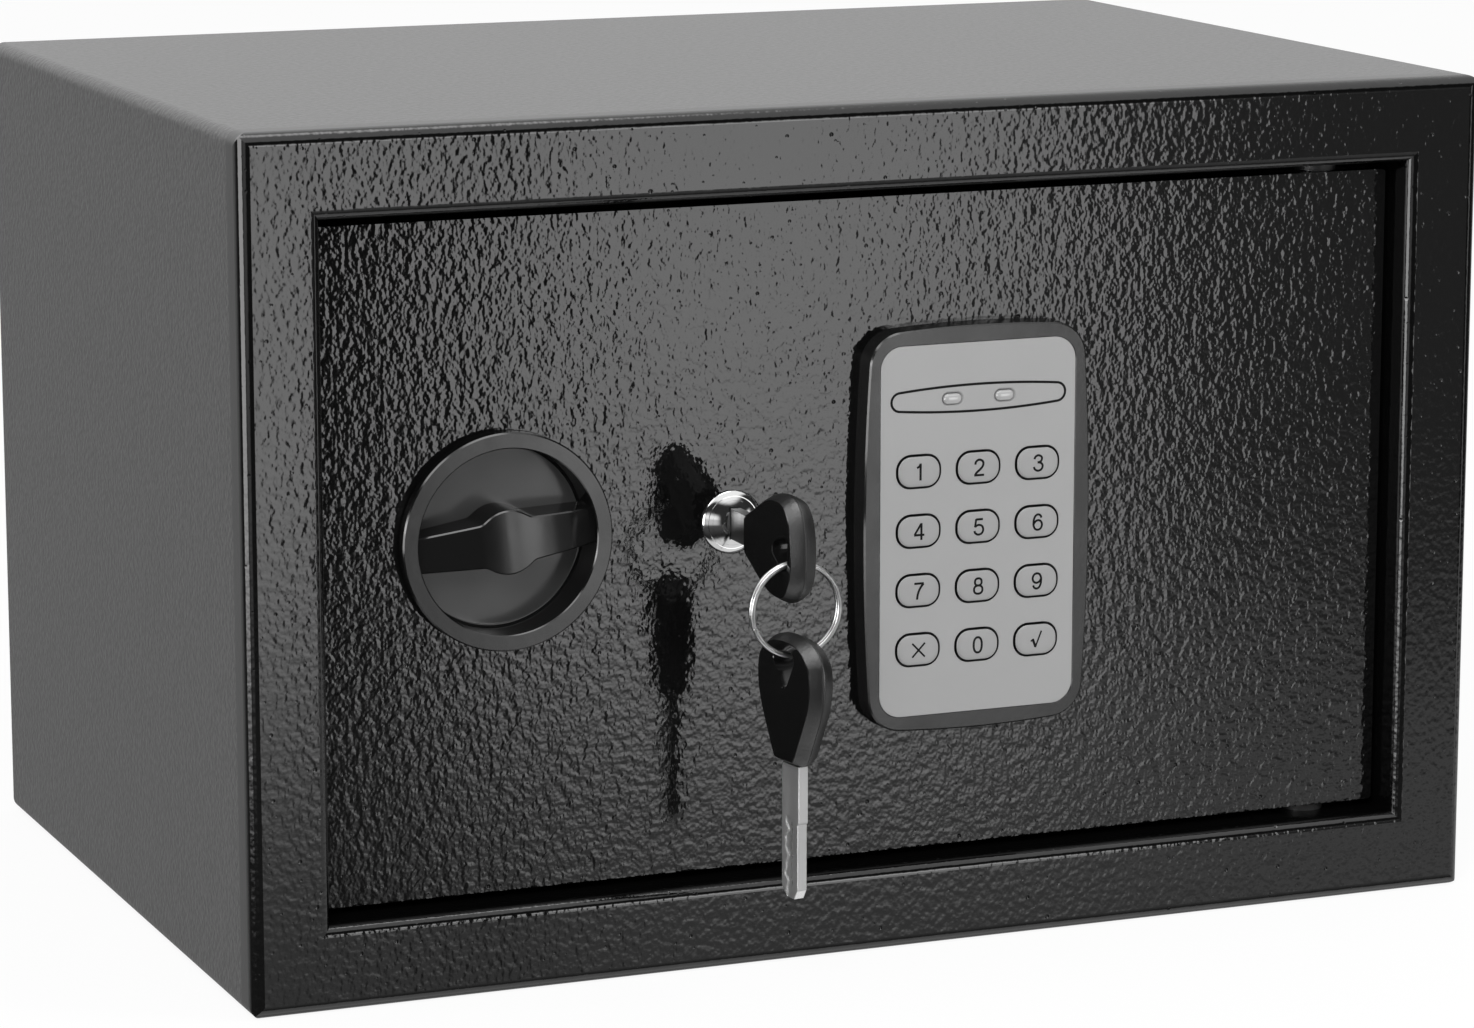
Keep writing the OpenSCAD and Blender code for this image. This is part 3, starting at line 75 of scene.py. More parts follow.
class Graph:
    """A short way to write a node tree."""

    def __init__(self, tree):
        self.tree = tree

    def add(self, kind, *links, **values):
        node = self.tree.nodes.new(kind)
        for key, value in values.items():
            if hasattr(node, key):
                setattr(node, key, value)
            else:
                node.inputs[key.replace("_", " ")].default_value = value
        for socket, source in links:
            self.tree.links.new(source, node.inputs[socket])
        return node

    def math(self, operation, a, b=0.0):
        node = self.tree.nodes.new("ShaderNodeMath")
        node.operation = operation
        for index, value in enumerate((a, b)):
            if isinstance(value, (int, float)):
                node.inputs[index].default_value = value
            else:
                self.tree.links.new(value, node.inputs[index])
        return node.outputs[0]

    def plus(self, a, b):
        return self.math("ADD", a, b)

    def times(self, a, b):
        return self.math("MULTIPLY", a, b)

    def either(self, share, a, b):
        """a where share is 1, b where it is 0, and a blend of the two between."""
        return self.plus(self.times(share, a), self.times(self.math("SUBTRACT", 1.0, share), b))

    def ramp(self, value, low, high, start=0.0, end=1.0):
        """start below low, end above high, with a smooth change between."""
        node = self.tree.nodes.new("ShaderNodeMapRange")
        node.interpolation_type = "SMOOTHSTEP"
        self.tree.links.new(value, node.inputs["Value"])
        for name, number in (("From Min", low), ("From Max", high), ("To Min", start), ("To Max", end)):
            node.inputs[name].default_value = number
        return node.outputs[0]

    def mix(self, factor, a, b):
        """Blends two colours, a at 0 and b at 1. Each value is a number, a colour or a socket."""
        node = self.tree.nodes.new("ShaderNodeMix")
        node.data_type = "RGBA"
        for name, value in (("Factor", factor), ("A", a), ("B", b)):
            socket = [s for s in node.inputs if s.name == name and s.enabled][0]
            if hasattr(value, "links"):
                self.tree.links.new(value, socket)
            else:
                socket.default_value = value
        return [s for s in node.outputs if s.enabled][0]


def grey(value):
    return (value, value, value, 1.0)


def principled(name, color, rough, metallic=0.0, coat=0.0, specular=0.5):
    mat = bpy.data.materials.new(name)
    mat.use_nodes = True
    shader = mat.node_tree.nodes["Principled BSDF"]
    shader.inputs["Base Color"].default_value = color
    shader.inputs["Roughness"].default_value = rough
    shader.inputs["Metallic"].default_value = metallic
    shader.inputs["Coat Weight"].default_value = coat
    shader.inputs["Specular IOR Level"].default_value = specular
    graph = Graph(mat.node_tree)
    graph.shader = shader
    graph.coords = graph.add("ShaderNodeTexCoord").outputs["Object"]
    return mat, graph


def noise(graph, scale, detail=2.0, rough=0.5, stretch=None):
    vector = graph.coords
    if stretch:
        mapping = graph.add("ShaderNodeMapping", ("Vector", vector))
        mapping.inputs["Scale"].default_value = stretch
        vector = mapping.outputs[0]
    node = graph.add("ShaderNodeTexNoise", ("Vector", vector), Scale=scale, Detail=detail, Roughness=rough)
    return node.outputs[0]


def bump(graph, height, distance):
    node = graph.add("ShaderNodeBump", ("Height", height), Distance=distance, Strength=1.0)
    graph.tree.links.new(node.outputs[0], graph.shader.inputs["Normal"])


# most of a noise lies between these
NOISE_LOW, NOISE_HIGH = 0.3, 0.7


def vary(graph, socket, value, low, high):
    """Lets a socket wander between two numbers."""
    graph.tree.links.new(graph.ramp(value, NOISE_LOW, NOISE_HIGH, low, high), graph.shader.inputs[socket])


def tint(graph, value, dark, light):
    """Lets the colour wander between two colours."""
    factor = graph.ramp(value, NOISE_LOW, NOISE_HIGH)
    graph.tree.links.new(graph.mix(factor, dark, light), graph.shader.inputs["Base Color"])


# lumps and grain of the glossy coat, to the metre, and the grain's height against the lumps
LUMPS, GRAIN, GRAIN_SHARE = 640.0, 2300.0, 0.07
# pits in it: cells to the metre, radius in cells, share of the cells without one, depth against the lumps
PITS = ((210.0, 0.12, 0.3, 1.5), (400.0, 0.14, 0.35, 0.8))


def orange_peel(graph):
    """Height of the glossy coat: soft lumps with a finer grain on them, and many small sharp pits."""
    lumps = noise(graph, LUMPS, 1.0, 0.5, (1.0, 1.0, 0.84))
    grain = noise(graph, GRAIN, 1.0, 0.5)
    height = graph.plus(lumps, graph.times(grain, GRAIN_SHARE))
    for cells, wide, least, depth in PITS:
        spots = graph.add("ShaderNodeTexVoronoi", ("Vector", graph.coords), Scale=cells, Randomness=1.0)
        pit = graph.ramp(spots.outputs["Distance"], 0.02, wide, -1.0, 0.0)
        pick = graph.add("ShaderNodeSeparateColor", ("Color", spots.outputs["Color"])).outputs[0]
        height = graph.plus(height, graph.times(pit, graph.ramp(pick, least, 0.95, 0.0, depth)))
    return height


def glossy_paint(name, color, rough, depth):
    """Black powder coat of the door."""
    mat, graph = principled(name, color, rough)
    bump(graph, orange_peel(graph), depth)
    vary(graph, "Roughness", noise(graph, 90.0, 2.0), rough * 0.9, rough * 1.15)
    return mat


# outer size of the front frame, in metres
HALF_W, HALF_H, FRONT = 0.155, 0.1, -0.105


def frame_paint(name, color, rough, depth):
    """The same coat on the front frame. Its outer returns have the duller finish of the sides."""
    calm_from, calm_to, calm = -0.150, -0.130, 0.6
    curl_from, curl = -0.095, 0.25
    side_rough, side_grey = 0.42, 0.022
    mat, graph = principled(name, color, rough)
    x, y, z = graph.add("ShaderNodeSeparateXYZ", ("Vector", graph.coords)).outputs
    # the left end of the sheet curls back a little, and its coat lies smoother there
    height = graph.times(orange_peel(graph), graph.ramp(x, calm_from, calm_to, calm, 1.0))
    left = graph.math("MINIMUM", graph.plus(x, -curl_from), 0.0)
    lean = graph.times(graph.times(left, left), curl / depth)
    bump(graph, graph.plus(height, lean), depth)
    side = graph.ramp(graph.math("ABSOLUTE", x), HALF_W - 0.002, HALF_W - 0.0005)
    upright = graph.math("ABSOLUTE", graph.math("SUBTRACT", z, HALF_H))
    ends = graph.ramp(upright, HALF_H - 0.002, HALF_H - 0.0005)
    behind = graph.ramp(y, FRONT + 0.0014, FRONT + 0.0026)
    dull = graph.times(graph.math("MAXIMUM", side, ends), behind)
    graph.tree.links.new(graph.ramp(dull, 0.0, 1.0, rough, side_rough), graph.shader.inputs["Roughness"])
    graph.tree.links.new(graph.mix(dull, color, grey(side_grey)), graph.shader.inputs["Base Color"])
    return mat


def satin_paint(name, color, rough, cell, depth):
    mat, graph = principled(name, color, rough)
    grain = noise(graph, cell, 2.0, 0.5)
    bump(graph, grain, depth)
    dark, light = (tuple(c * share for c in color[:3]) + (1.0,) for share in (0.7, 1.3))
    tint(graph, grain, dark, light)
    return mat


def plastic(name, color, rough, cell=900.0, depth=0.00001, coat=0.0, specular=0.5):
    mat, graph = principled(name, color, rough, coat=coat, specular=specular)
    bump(graph, noise(graph, cell, 3.0), depth)
    vary(graph, "Roughness", noise(graph, 60.0, 3.0), rough * 0.85, rough * 1.15)
    return mat


def metal(name, color, rough, stretch=(1.0, 1.0, 1.0), depth=0.000004, cell=900.0, body=1.0):
    mat, graph = principled(name, color, rough, metallic=body)
    grain = noise(graph, cell, 3.0, 0.6, stretch)
    bump(graph, grain, depth)
    vary(graph, "Roughness", noise(graph, 140.0, 3.0, 0.6, stretch), rough * 0.75, rough * 1.3)
    light = tuple(min(1.0, c * 1.08) for c in color[:3]) + (1.0,)
    tint(graph, noise(graph, 90.0, 3.0), color, light)
    return mat


def felt(name, color):
    mat, graph = principled(name, color, 0.95, specular=0.2)
    fibre = noise(graph, 1400.0, 4.0, 0.7)
    bump(graph, fibre, 0.0002)
    dark = tuple(c * 0.6 for c in color[:3]) + (1.0,)
    tint(graph, noise(graph, 500.0, 4.0, 0.7), dark, color)
    return mat


def wound(name, color, scale, axis):
    """Enamelled wire wound on a bobbin, darker in the grooves between the turns as painted shade."""
    mat, graph = principled(name, color, 0.3, metallic=0.6)
    wave = graph.add("ShaderNodeTexWave", ("Vector", graph.coords), bands_direction=axis,
                     Scale=scale, Distortion=0.6)
    bump(graph, wave.outputs[1], 0.0002)
    # painted shade: the colour darkens where the bump is low, in the grooves between the turns
    dark = tuple(c * 0.5 for c in color[:3]) + (1.0,)
    tint(graph, wave.outputs[1], dark, color)
    return mat


PAINT_FRAME = frame_paint("paint_frame", grey(0.003), 0.055, 0.00005)
PAINT_DOOR = glossy_paint("paint_door", grey(0.003), 0.055, 0.000068)
PAINT_SIDE = satin_paint("paint_side", grey(0.05), 0.42, 750.0, 0.00022)
PAINT_INSIDE = satin_paint("paint_inside", grey(0.03), 0.5, 1500.0, 0.00004)
PAINT_COVER = satin_paint("paint_cover", grey(0.035), 0.45, 1300.0, 0.00004)
KNOB_PLASTIC = plastic("knob_plastic", grey(0.005), 0.13, 260.0, 0.000006)
# painted light: the dish floor's copy of the knob plastic is rougher and ten times lighter in grey, so the
# floor renders brighter
LIT_DISH_PLASTIC = plastic("lit_dish_plastic", grey(0.05), 0.23, 260.0, 0.000006)
PAD_BLACK = plastic("pad_black", grey(0.014), 0.19)
PAD_GREY = plastic("pad_grey", grey(0.36), 0.42, 1400.0, 0.000008)
CAP_GREY = plastic("cap_grey", grey(0.34), 0.42, 1400.0, 0.000008)
# black of the printed signs and the lamp line, also put on the cap skirts and the faceplate's walls round the
# keys as painted shade in the gaps
PRINT_AND_GAP_SHADE = plastic("print_and_gap_shade", grey(0.005), 0.5, specular=0.15)
HEAD_GLOSS = plastic("head_gloss", grey(0.006), 0.14, 500.0, 0.000002)
HEAD_SATIN = plastic("head_satin", grey(0.009), 0.4, 1200.0, 0.00007, specular=0.8)
TRAY_BLACK = plastic("tray_black", grey(0.025), 0.45, 1500.0, 0.00002)
RUBBER = plastic("rubber", grey(0.2), 0.75, 1200.0, 0.00002)
CHROME = metal("chrome", grey(0.52), 0.09, depth=0.0)
STEEL = metal("steel", grey(0.5), 0.34, (1.0, 1.0, 0.08))
BLADE_STEEL = metal("blade_steel", grey(0.62), 0.3, (1.0, 1.0, 0.05), 0.000002, body=0.8)
# painted shade: a darker copy of the blade steel for the key in the lock, standing in for the shade on its
# blade
SHADED_BLADE_STEEL = metal("shaded_blade_steel", grey(0.16), 0.3, (1.0, 1.0, 0.05), 0.000002)
RING_STEEL = metal("ring_steel", grey(0.6), 0.36, depth=0.0)
ZINC = metal("zinc", (0.60, 0.60, 0.57, 1.0), 0.36, (1.0, 1.0, 1.0), 0.00001, 500.0)
CONTACT = metal("contact", grey(0.7), 0.2)
CIRCUIT = plastic("circuit", (0.02, 0.12, 0.05, 1.0), 0.35)
LENS = plastic("lens", grey(0.42), 0.1, 500.0, 0.000001, coat=1.0)
CELL_SLEEVE = plastic("cell_sleeve", (0.03, 0.08, 0.06, 1.0), 0.25)
WIRE_SHEATH = plastic("wire_sheath", (0.35, 0.02, 0.02, 1.0), 0.4)
BUTTON_RED = plastic("button_red", (0.45, 0.02, 0.02, 1.0), 0.4)
FELT = felt("felt", grey(0.05))
COIL = wound("coil", (0.45, 0.17, 0.05, 1.0), 1.0 / 0.012, "Z")


# Mesh helpers

def finish_mesh(bm, name, mats, body, stands_for, sharp, even=True):
    """Turns a bmesh in millimetres into a piece that rides on a body. Edges over sharp degrees stay sharp."""
    bmesh.ops.remove_doubles(bm, verts=bm.verts, dist=0.0005)
    bmesh.ops.recalc_face_normals(bm, faces=bm.faces)
    bmesh.ops.scale(bm, vec=(MM, MM, MM), verts=bm.verts)
    mesh = bpy.data.meshes.new(name)
    bm.to_mesh(mesh)
    bm.free()
    for mat in (mats if isinstance(mats, (list, tuple)) else [mats]):
        mesh.materials.append(mat)
    mesh.polygons.foreach_set("use_smooth", [True] * len(mesh.polygons))
    mesh.set_sharp_from_angle(angle=math.radians(sharp))
    piece = bpy.data.objects.new(name, mesh)
    bpy.context.scene.collection.objects.link(piece)
    if even:
        shading = piece.modifiers.new("even", "WEIGHTED_NORMAL")
        shading.keep_sharp = True
        shading.weight = 90
    if body:
        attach(piece, body)
    if stands_for:
        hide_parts(*stands_for)
    return piece


def put(bm, points):
    return [bm.verts.new(p) for p in points]


def strip(bm, a, b, material=0):
    """A band of faces between two closed rows of vertices."""
    for i in range(len(a)):
        j = (i + 1) % len(a)
        bm.faces.new((a[i], a[j], b[j], b[i])).material_index = material


def loft(bm, loops, start=True, end=True, material=0, wrap=False):
    """Joins closed loops of equal length, and caps the ends."""
    rows = [put(bm, loop) for loop in loops]
    for a, b in zip(rows, rows[1:]):
        strip(bm, a, b, material)
    if wrap:
        strip(bm, rows[-1], rows[0], material)
    if start and not wrap:
        bm.faces.new(rows[0][::-1]).material_index = material
    if end and not wrap:
        bm.faces.new(rows[-1]).material_index = material
    return rows


def fill(bm, rows):
    """Fills a flat region whose outer edge and holes are rows of vertices."""
    edges = []
    for row in rows:
        for i in range(len(row)):
            pair = (row[i], row[(i + 1) % len(row)])
            edges.append(bm.edges.get(pair) or bm.edges.new(pair))
    bmesh.ops.triangle_fill(bm, use_beauty=True, use_dissolve=False, edges=edges)


def round_rect(cx, cz, w, h, r, steps=10):
    """Outline with round corners, anticlockwise in x and z."""
    r = min(r, w / 2 - 0.001, h / 2 - 0.001)
    points = []
    for k, (sx, sz) in enumerate(((1, 1), (-1, 1), (-1, -1), (1, -1))):
        for i in range(steps + 1):
            a = math.radians(90.0 * (k + i / steps))
            points.append((cx + sx * (w / 2 - r) + r * math.cos(a), cz + sz * (h / 2 - r) + r * math.sin(a)))
    return points


def at_y(points, y):
    return [(x, y, z) for x, z in points]


def lathe(bm, profile, cx, cz, steps, wrap=False):
    """Turns (radius, y) round an axis along Y. A radius of 0 closes the end."""
    angles = [2 * math.pi * i / steps for i in range(steps)]
    rows = []
    for r, y in profile:
        spokes = angles if r > 0 else angles[:1]
        rows.append(put(bm, [(cx + r * math.cos(a), y, cz + r * math.sin(a)) for a in spokes]))
    pairs = list(zip(rows, rows[1:]))
    if wrap:
        pairs.append((rows[-1], rows[0]))
    for a, b in pairs:
        if len(a) == len(b):
            strip(bm, a, b)
            continue
        for i in range(steps):
            j = (i + 1) % steps
            bm.faces.new((a[0], b[j], b[i]) if len(a) == 1 else (a[i], a[j], b[0]))


def arc(cx, cy, r, start, end, steps):
    """Points on an arc, in degrees, as (first axis, second axis)."""
    angles = [math.radians(start + (end - start) * i / steps) for i in range(steps + 1)]
    return [(cx + r * math.cos(a), cy + r * math.sin(a)) for a in angles]


def tube(bm, path, radius, steps):
    """A round wire along a path of points."""
    angles = [2 * math.pi * k / steps for k in range(steps)]
    rings = []
    side = None
    for i, p in enumerate(path):
        before = path[max(0, i - 1)]
        after = path[min(len(path) - 1, i + 1)]
        ahead = (Vector(after) - Vector(before)).normalized()
        if side is None:
            side = ahead.orthogonal().normalized()
        side = (side - ahead * side.dot(ahead)).normalized()
        up = ahead.cross(side)
        rings.append([tuple(Vector(p) + side * (radius * math.cos(a)) + up * (radius * math.sin(a)))
                      for a in angles])
    loft(bm, rings)


def smooth(t):
    """From 0 to 1 with a soft start and end, and flat outside."""
    t = min(1.0, max(0.0, t))
    return t * t * (3 - 2 * t)


# Places and sizes, as in the model

Y_FACE = -96.0
KNOB_X, AXIS_Z, LOCK_X = -91.0, 103.8, -35.2
KNOB_FRONT = Y_FACE - 3.5
PAD_X, PAD_Z = 24.8, 99.0
Y_PAD = Y_FACE - 5.6
Y_WEB = Y_PAD + 0.6
HOUSING_W, HOUSING_H, HOUSING_RIM = 58.4, 96.4, 4.2
PLATE_W, PLATE_H = HOUSING_W - 2 * HOUSING_RIM, HOUSING_H - 2 * HOUSING_RIM
COLUMN_PITCH, ROW_PITCH, TOP_ROW_UP = 15.25, 14.13, 14.3
CAP_W, CAP_H, CAP_R, CAP_GAP = 10.6, 7.25, 3.25, 0.46
CAP_FRONT = Y_PAD - 0.6
LAMP_OUT, LAMP_UP, LAMP_W, LAMP_H = 6.7, 30.9, 4.7, 2.5
KEYS = ("1", "2", "3", "4", "5", "6", "7", "8", "9", "clear", "0", "enter")


def key_place(i):
    return PAD_X + (i % 3 - 1) * COLUMN_PITCH, PAD_Z + TOP_ROW_UP - (i // 3) * ROW_PITCH


# Knob

def make_knob():
    """Flat rim with crisp edges round a deep dish with a flat floor. The floor takes a lighter, rougher copy
    of the knob plastic; its lighter grey is painted light.
    """
    dish_r, rim_r, cup_r = 21.5, 25.2, 22.8
    dish_depth, floor_t, door_gap = 10.0, 2.0, 0.4
    outer, inner, back_edge, fillet, draft = 0.35, 0.25, 0.3, 0.8, 0.15
    floor = KNOB_FRONT + dish_depth
    rim_back = Y_FACE - door_gap
    foot_r = dish_r - draft
    profile = [(0.0, floor + floor_t), (cup_r, floor + floor_t), (cup_r, rim_back)]
    profile += [(rim_r - back_edge, rim_back), (rim_r, rim_back - back_edge), (rim_r, KNOB_FRONT + outer)]
    profile += [(rim_r - outer, KNOB_FRONT), (dish_r + inner, KNOB_FRONT), (dish_r, KNOB_FRONT + inner)]
    profile += [(foot_r, floor - fillet - 0.2)]
    profile += arc(foot_r - fillet, floor - fillet, fillet, 0, 90, 6)
    profile += [(0.0, floor)]
    bm = bmesh.new()
    lathe(bm, profile, KNOB_X, AXIS_Z, 160)
    for face in bm.faces:
        middle = face.calc_center_median()
        flat = abs(middle.y - floor) < 0.1
        inside = math.hypot(middle.x - KNOB_X, middle.z - AXIS_Z) < dish_r
        face.material_index = 1 if flat and inside else 0
    finish_mesh(bm, "knob_rim", (KNOB_PLASTIC, LIT_DISH_PLASTIC), "knob", ("knob_dial",), 32.0)


def make_grip():
    """The crowned bar across the knob: arms that taper out from a round hub."""
    tilt = math.radians(6.0)
    reach, end_w, root_w, hub_r = 22.3, 8.0, 10.8, 7.4
    base = Y_FACE + 6.5
    front = KNOB_FRONT - 0.4
    edge = 0.32
    stations = 120
    # slope of the bar's front along its length: steep on the arms, nearly flat on the hub
    slopes = ((-23.0, -0.21), (-8.0, -0.17), (-5.5, -0.045), (0.5, -0.006),
              (10.0, 0.058), (19.0, 0.24), (23.0, 0.26))

    def slope(s):
        for (s0, k0), (s1, k1) in zip(slopes, slopes[1:]):
            if s <= s1:
                return k0 + (k1 - k0) * smooth((s - s0) / (s1 - s0))
        return slopes[-1][1]

    # heights of the front, summed in fine steps from the middle to each end
    fine, count = 0.1, 240
    heights = {}
    for way in (-1, 1):
        y = front
        for k in range(count):
            heights[way * k] = y
            y += abs(slope(way * (k + 0.5) * fine)) * fine

    def top(s):
        k = s / fine
        low = math.floor(k)
        return heights[low] + (heights[low + 1] - heights[low]) * (k - low)

    def half_width(s):
        arm = end_w / 2 + (root_w - end_w) / 2 * (1 - min(1.0, abs(s) / reach))
        hub = math.sqrt(max(0.0, hub_r ** 2 - s * s))
        sharp = 12.0
        return (arm ** sharp + hub ** sharp) ** (1 / sharp)

    # each point of the section: side, distance in from the side, share of the depth, drop from the front
    lower = [(1.0, 0.0, 1.0, 0.0), (1.0, 0.0, 0.35, 0.0)]
    lower += [(1.0, 0.0, 0.0, edge), (1.0, edge, 0.0, 0.0)]
    section = [(-side, inset, depth, drop) for side, inset, depth, drop in lower]
    section += [(share, edge, 0.0, 0.0) for share in (-0.6, -0.2, 0.2, 0.6)]
    section += lower[::-1]
    end_half = 3.4
    rows = []
    for k in range(stations + 1):
        u = -math.cos(math.pi * k / stations)
        ring = []
        for side, inset, depth, drop in section:
            s = u * math.sqrt(reach ** 2 - (side * end_half) ** 2)
            across = side * (half_width(s) - inset)
            y = top(s) + drop + depth * (base - top(s))
            x = s * math.cos(tilt) - across * math.sin(tilt)
            z = s * math.sin(tilt) + across * math.cos(tilt)
            ring.append((KNOB_X + x, y, AXIS_Z + z))
        rows.append(ring)
    bm = bmesh.new()
    loft(bm, rows)
    finish_mesh(bm, "knob_grip", KNOB_PLASTIC, "knob", (), 32.0)


# Key lock

def lock_front(r):
    """Front of the lock at a distance from its axis: nearly flat, then sloping, with a round outer edge."""
    proud, crown = 2.7, 0.03
    flat_r, fall, ease, ease_r = 2.2, 0.2, 0.18, 0.9
    edge_r, edge_w, edge_deep = 6.9, 0.56, 0.36
    out = max(0.0, r - flat_r)
    slope = fall * out - ease * (1 - math.exp(-out / ease_r))
    over = max(0.0, r - edge_r) / edge_w
    rounding = edge_deep * (1 - math.sqrt(max(0.0, 1 - over * over)))
    return Y_FACE - proud + crown * r * r + slope + rounding


def make_lock_body():
    """The lock's body with the outer part of its front, which stays on the door."""
    bore_r, barrel_r, flange_r, lip_r = 5.3, 6.7, 7.45, 5.24
    back, seat = Y_FACE + 17.5, Y_FACE - 0.8
    bm = bmesh.new()
    profile = [(bore_r, back), (barrel_r, back), (barrel_r, Y_FACE), (flange_r, Y_FACE)]
    profile += [(flange_r, Y_FACE - 0.25)]
    profile += [(r, lock_front(r)) for r in (7.44, 7.4, 7.32, 7.2, 7.0, 6.75, 6.5, 6.2, 5.9, 5.6, 5.3, lip_r)]
    profile += [(lip_r - 0.01, lock_front(lip_r) + 0.03), (lip_r - 0.01, seat)]
    lathe(bm, profile, LOCK_X, AXIS_Z, 128, wrap=True)
    finish_mesh(bm, "lock_body", CHROME, "door", ("lock_housing",), 30.0)


def make_plug_cap():
    """The plug's cap, which turns with the key: a ring of quads between its round edge and the keyway."""
    cap_r, back = 5.21, Y_FACE + 3.0
    slot_half_w, slot_half_h = 1.4, 3.75
    spokes, steps = 96, 24
    corner = math.atan2(slot_half_h, slot_half_w)
    angles = sorted(set([2 * math.pi * i / spokes for i in range(spokes)]
                        + [corner, math.pi - corner, math.pi + corner, 2 * math.pi - corner]))
    outline = [(cap_r * math.cos(a), cap_r * math.sin(a)) for a in angles]
    keyway = []
    for x, z in outline:
        k = min(slot_half_w / max(abs(x), 1e-6), slot_half_h / max(abs(z), 1e-6))
        keyway.append((x * k, z * k))
    loops = [[(LOCK_X + x, back, AXIS_Z + z) for x, z in outline]]
    for k in range(steps + 1):
        t = k / steps
        loop = []
        for (x, z), (sx, sz) in zip(outline, keyway):
            px, pz = x + (sx - x) * t, z + (sz - z) * t
            loop.append((LOCK_X + px, lock_front(math.hypot(px, pz)), AXIS_Z + pz))
        loops.append(loop)
    loops.append([(LOCK_X + x, back, AXIS_Z + z) for x, z in keyway])
    bm = bmesh.new()
    loft(bm, loops, wrap=True)
    finish_mesh(bm, "plug_cap", CHROME, "lock_turn", (), 30.0)


# Keys

# the head: distance from the door, length and half thickness, then its hole's wall, half width and corners
HEAD_AWAY, HEAD_LEN, HEAD_HALF = 13.5, 30.0, 3.2
HOLE_WALL, HOLE_HALF, HOLE_R = 3.3, 4.2, 2.0
# the ring: middle and radius, then half its width and its play in the holes
RING_Y, RING_Z, RING_R = -133.7, 90.6, 10.55
RING_HALF, RING_CLEAR = 1.2, 0.35
SPARE_TURN = Matrix.Rotation(math.radians(9.0), 3, "Z")
SPARE_TOP = RING_Z - RING_R + RING_HALF + RING_CLEAR + HOLE_WALL
# half the head's outline from its far end to the blade, as length and width
HEAD_OUTLINE = ((0.0, 0.0), (0.15, 3.0), (0.9, 6.2), (2.4, 9.0), (4.8, 11.2), (7.8, 12.15), (11.5, 12.2),
                (15.0, 11.6), (18.5, 10.4), (22.0, 8.8), (25.0, 7.3), (28.4, 5.75))


def spline(points, steps):
    """A smooth curve through the points."""
    out = []
    for i in range(len(points) - 1):
        p0 = points[max(0, i - 1)]
        p1, p2 = points[i], points[i + 1]
        p3 = points[min(len(points) - 1, i + 2)]
        for k in range(steps):
            t = k / steps
            out.append(tuple(0.5 * (2 * b + (c - a) * t + (2 * a - 5 * b + 4 * c - d) * t * t
                                    + (3 * b - a - 3 * c + d) * t ** 3)
                             for a, b, c, d in zip(p0, p1, p2, p3)))
    out.append(points[-1])
    return out


def offset(points, distance):
    """Moves a closed outline inwards, along its normals."""
    count = len(points)
    out = []
    for i in range(count):
        a, b = Vector(points[i - 1]), Vector(points[(i + 1) % count])
        along = (b - a).normalized()
        normal = Vector((-along.y, along.x))
        out.append(tuple(Vector(points[i]) + normal * distance))
    return out


def head_outline():
    """Closed outline of a key's head as (length, width), anticlockwise."""
    corner = arc(27.4, 3.2, 2.6, 66, 0, 6)
    half = spline(HEAD_OUTLINE, 4)[:-1] + corner
    other = [(a, -b) for a, b in half[1:]][::-1]
    return half[::-1] + other[::-1]


def hole_outline(grow):
    """Hole for the ring, straight on the wall's side and narrowing towards the blade."""
    wall, half = HOLE_WALL - grow, HOLE_HALF + grow
    neck, tip = (11.6 + grow, 1.1), (12.1 + grow, 0.5)
    shoulder = (wall + HOLE_R + 1.0, half - 0.1)
    points = arc(wall + HOLE_R, half - HOLE_R, HOLE_R, 180, 90, 5)
    points += [shoulder, neck, tip]
    points += [(a, -b) for a, b in (tip, neck, shoulder)]
    points += arc(wall + HOLE_R, HOLE_R - half, HOLE_R, 270, 180, 5)
    return points


def in_lock(point):
    """Key's own (thickness, width, length) to the model, for the key in the lock."""
    x, b, a = point
    return (LOCK_X + x, Y_FACE - HEAD_AWAY - HEAD_LEN + a, AXIS_Z - b)


def on_ring(point):
    """The same for the spare key that hangs from the ring."""
    x, b, a = point
    turned = SPARE_TURN @ Vector((x, -b, -a))
    return (LOCK_X + turned.x, RING_Y + turned.y, SPARE_TOP + turned.z)


def make_head(name, place, body, node):
    """Moulded head: two glossy faces, a satin edge and a parting line round the middle."""
    outline = head_outline()
    area = sum(a[0] * b[1] - b[0] * a[1] for a, b in zip(outline, outline[1:] + outline[:1]))
    inwards = math.copysign(1.0, area)

    def rows_at(levels, shape):
        return [put(bm, [place((x, b, a)) for a, b in shape(value)]) for x, value in levels]

    # half thickness, and distance in from the outline
    edge = ((HEAD_HALF, 1.6), (3.12, 1.42), (3.0, 1.32), (1.6, 0.5), (0.6, 0.06), (0.14, 0.0), (0.05, 0.12))
    # half thickness, and distance that the hole widens
    rim = ((HEAD_HALF, 0.3), (3.1, 0.08), (2.95, 0.0))
    bm = bmesh.new()
    rows = rows_at([(-x, inset) for x, inset in edge] + list(edge[::-1]),
                   lambda inset: offset(outline, inwards * inset))
    for k, (row, following) in enumerate(zip(rows, rows[1:])):
        glossy = k in (0, 1, len(rows) - 3, len(rows) - 2)
        strip(bm, row, following, 0 if glossy else 1)
    holes = rows_at([(-x, grow) for x, grow in rim] + list(rim[::-1]), hole_outline)
    for row, following in zip(holes, holes[1:]):
        strip(bm, row, following)
    fill(bm, (rows[0], holes[0]))
    fill(bm, (rows[-1], holes[-1]))
    finish_mesh(bm, name, (HEAD_GLOSS, HEAD_SATIN), body, (node,), 24.0)


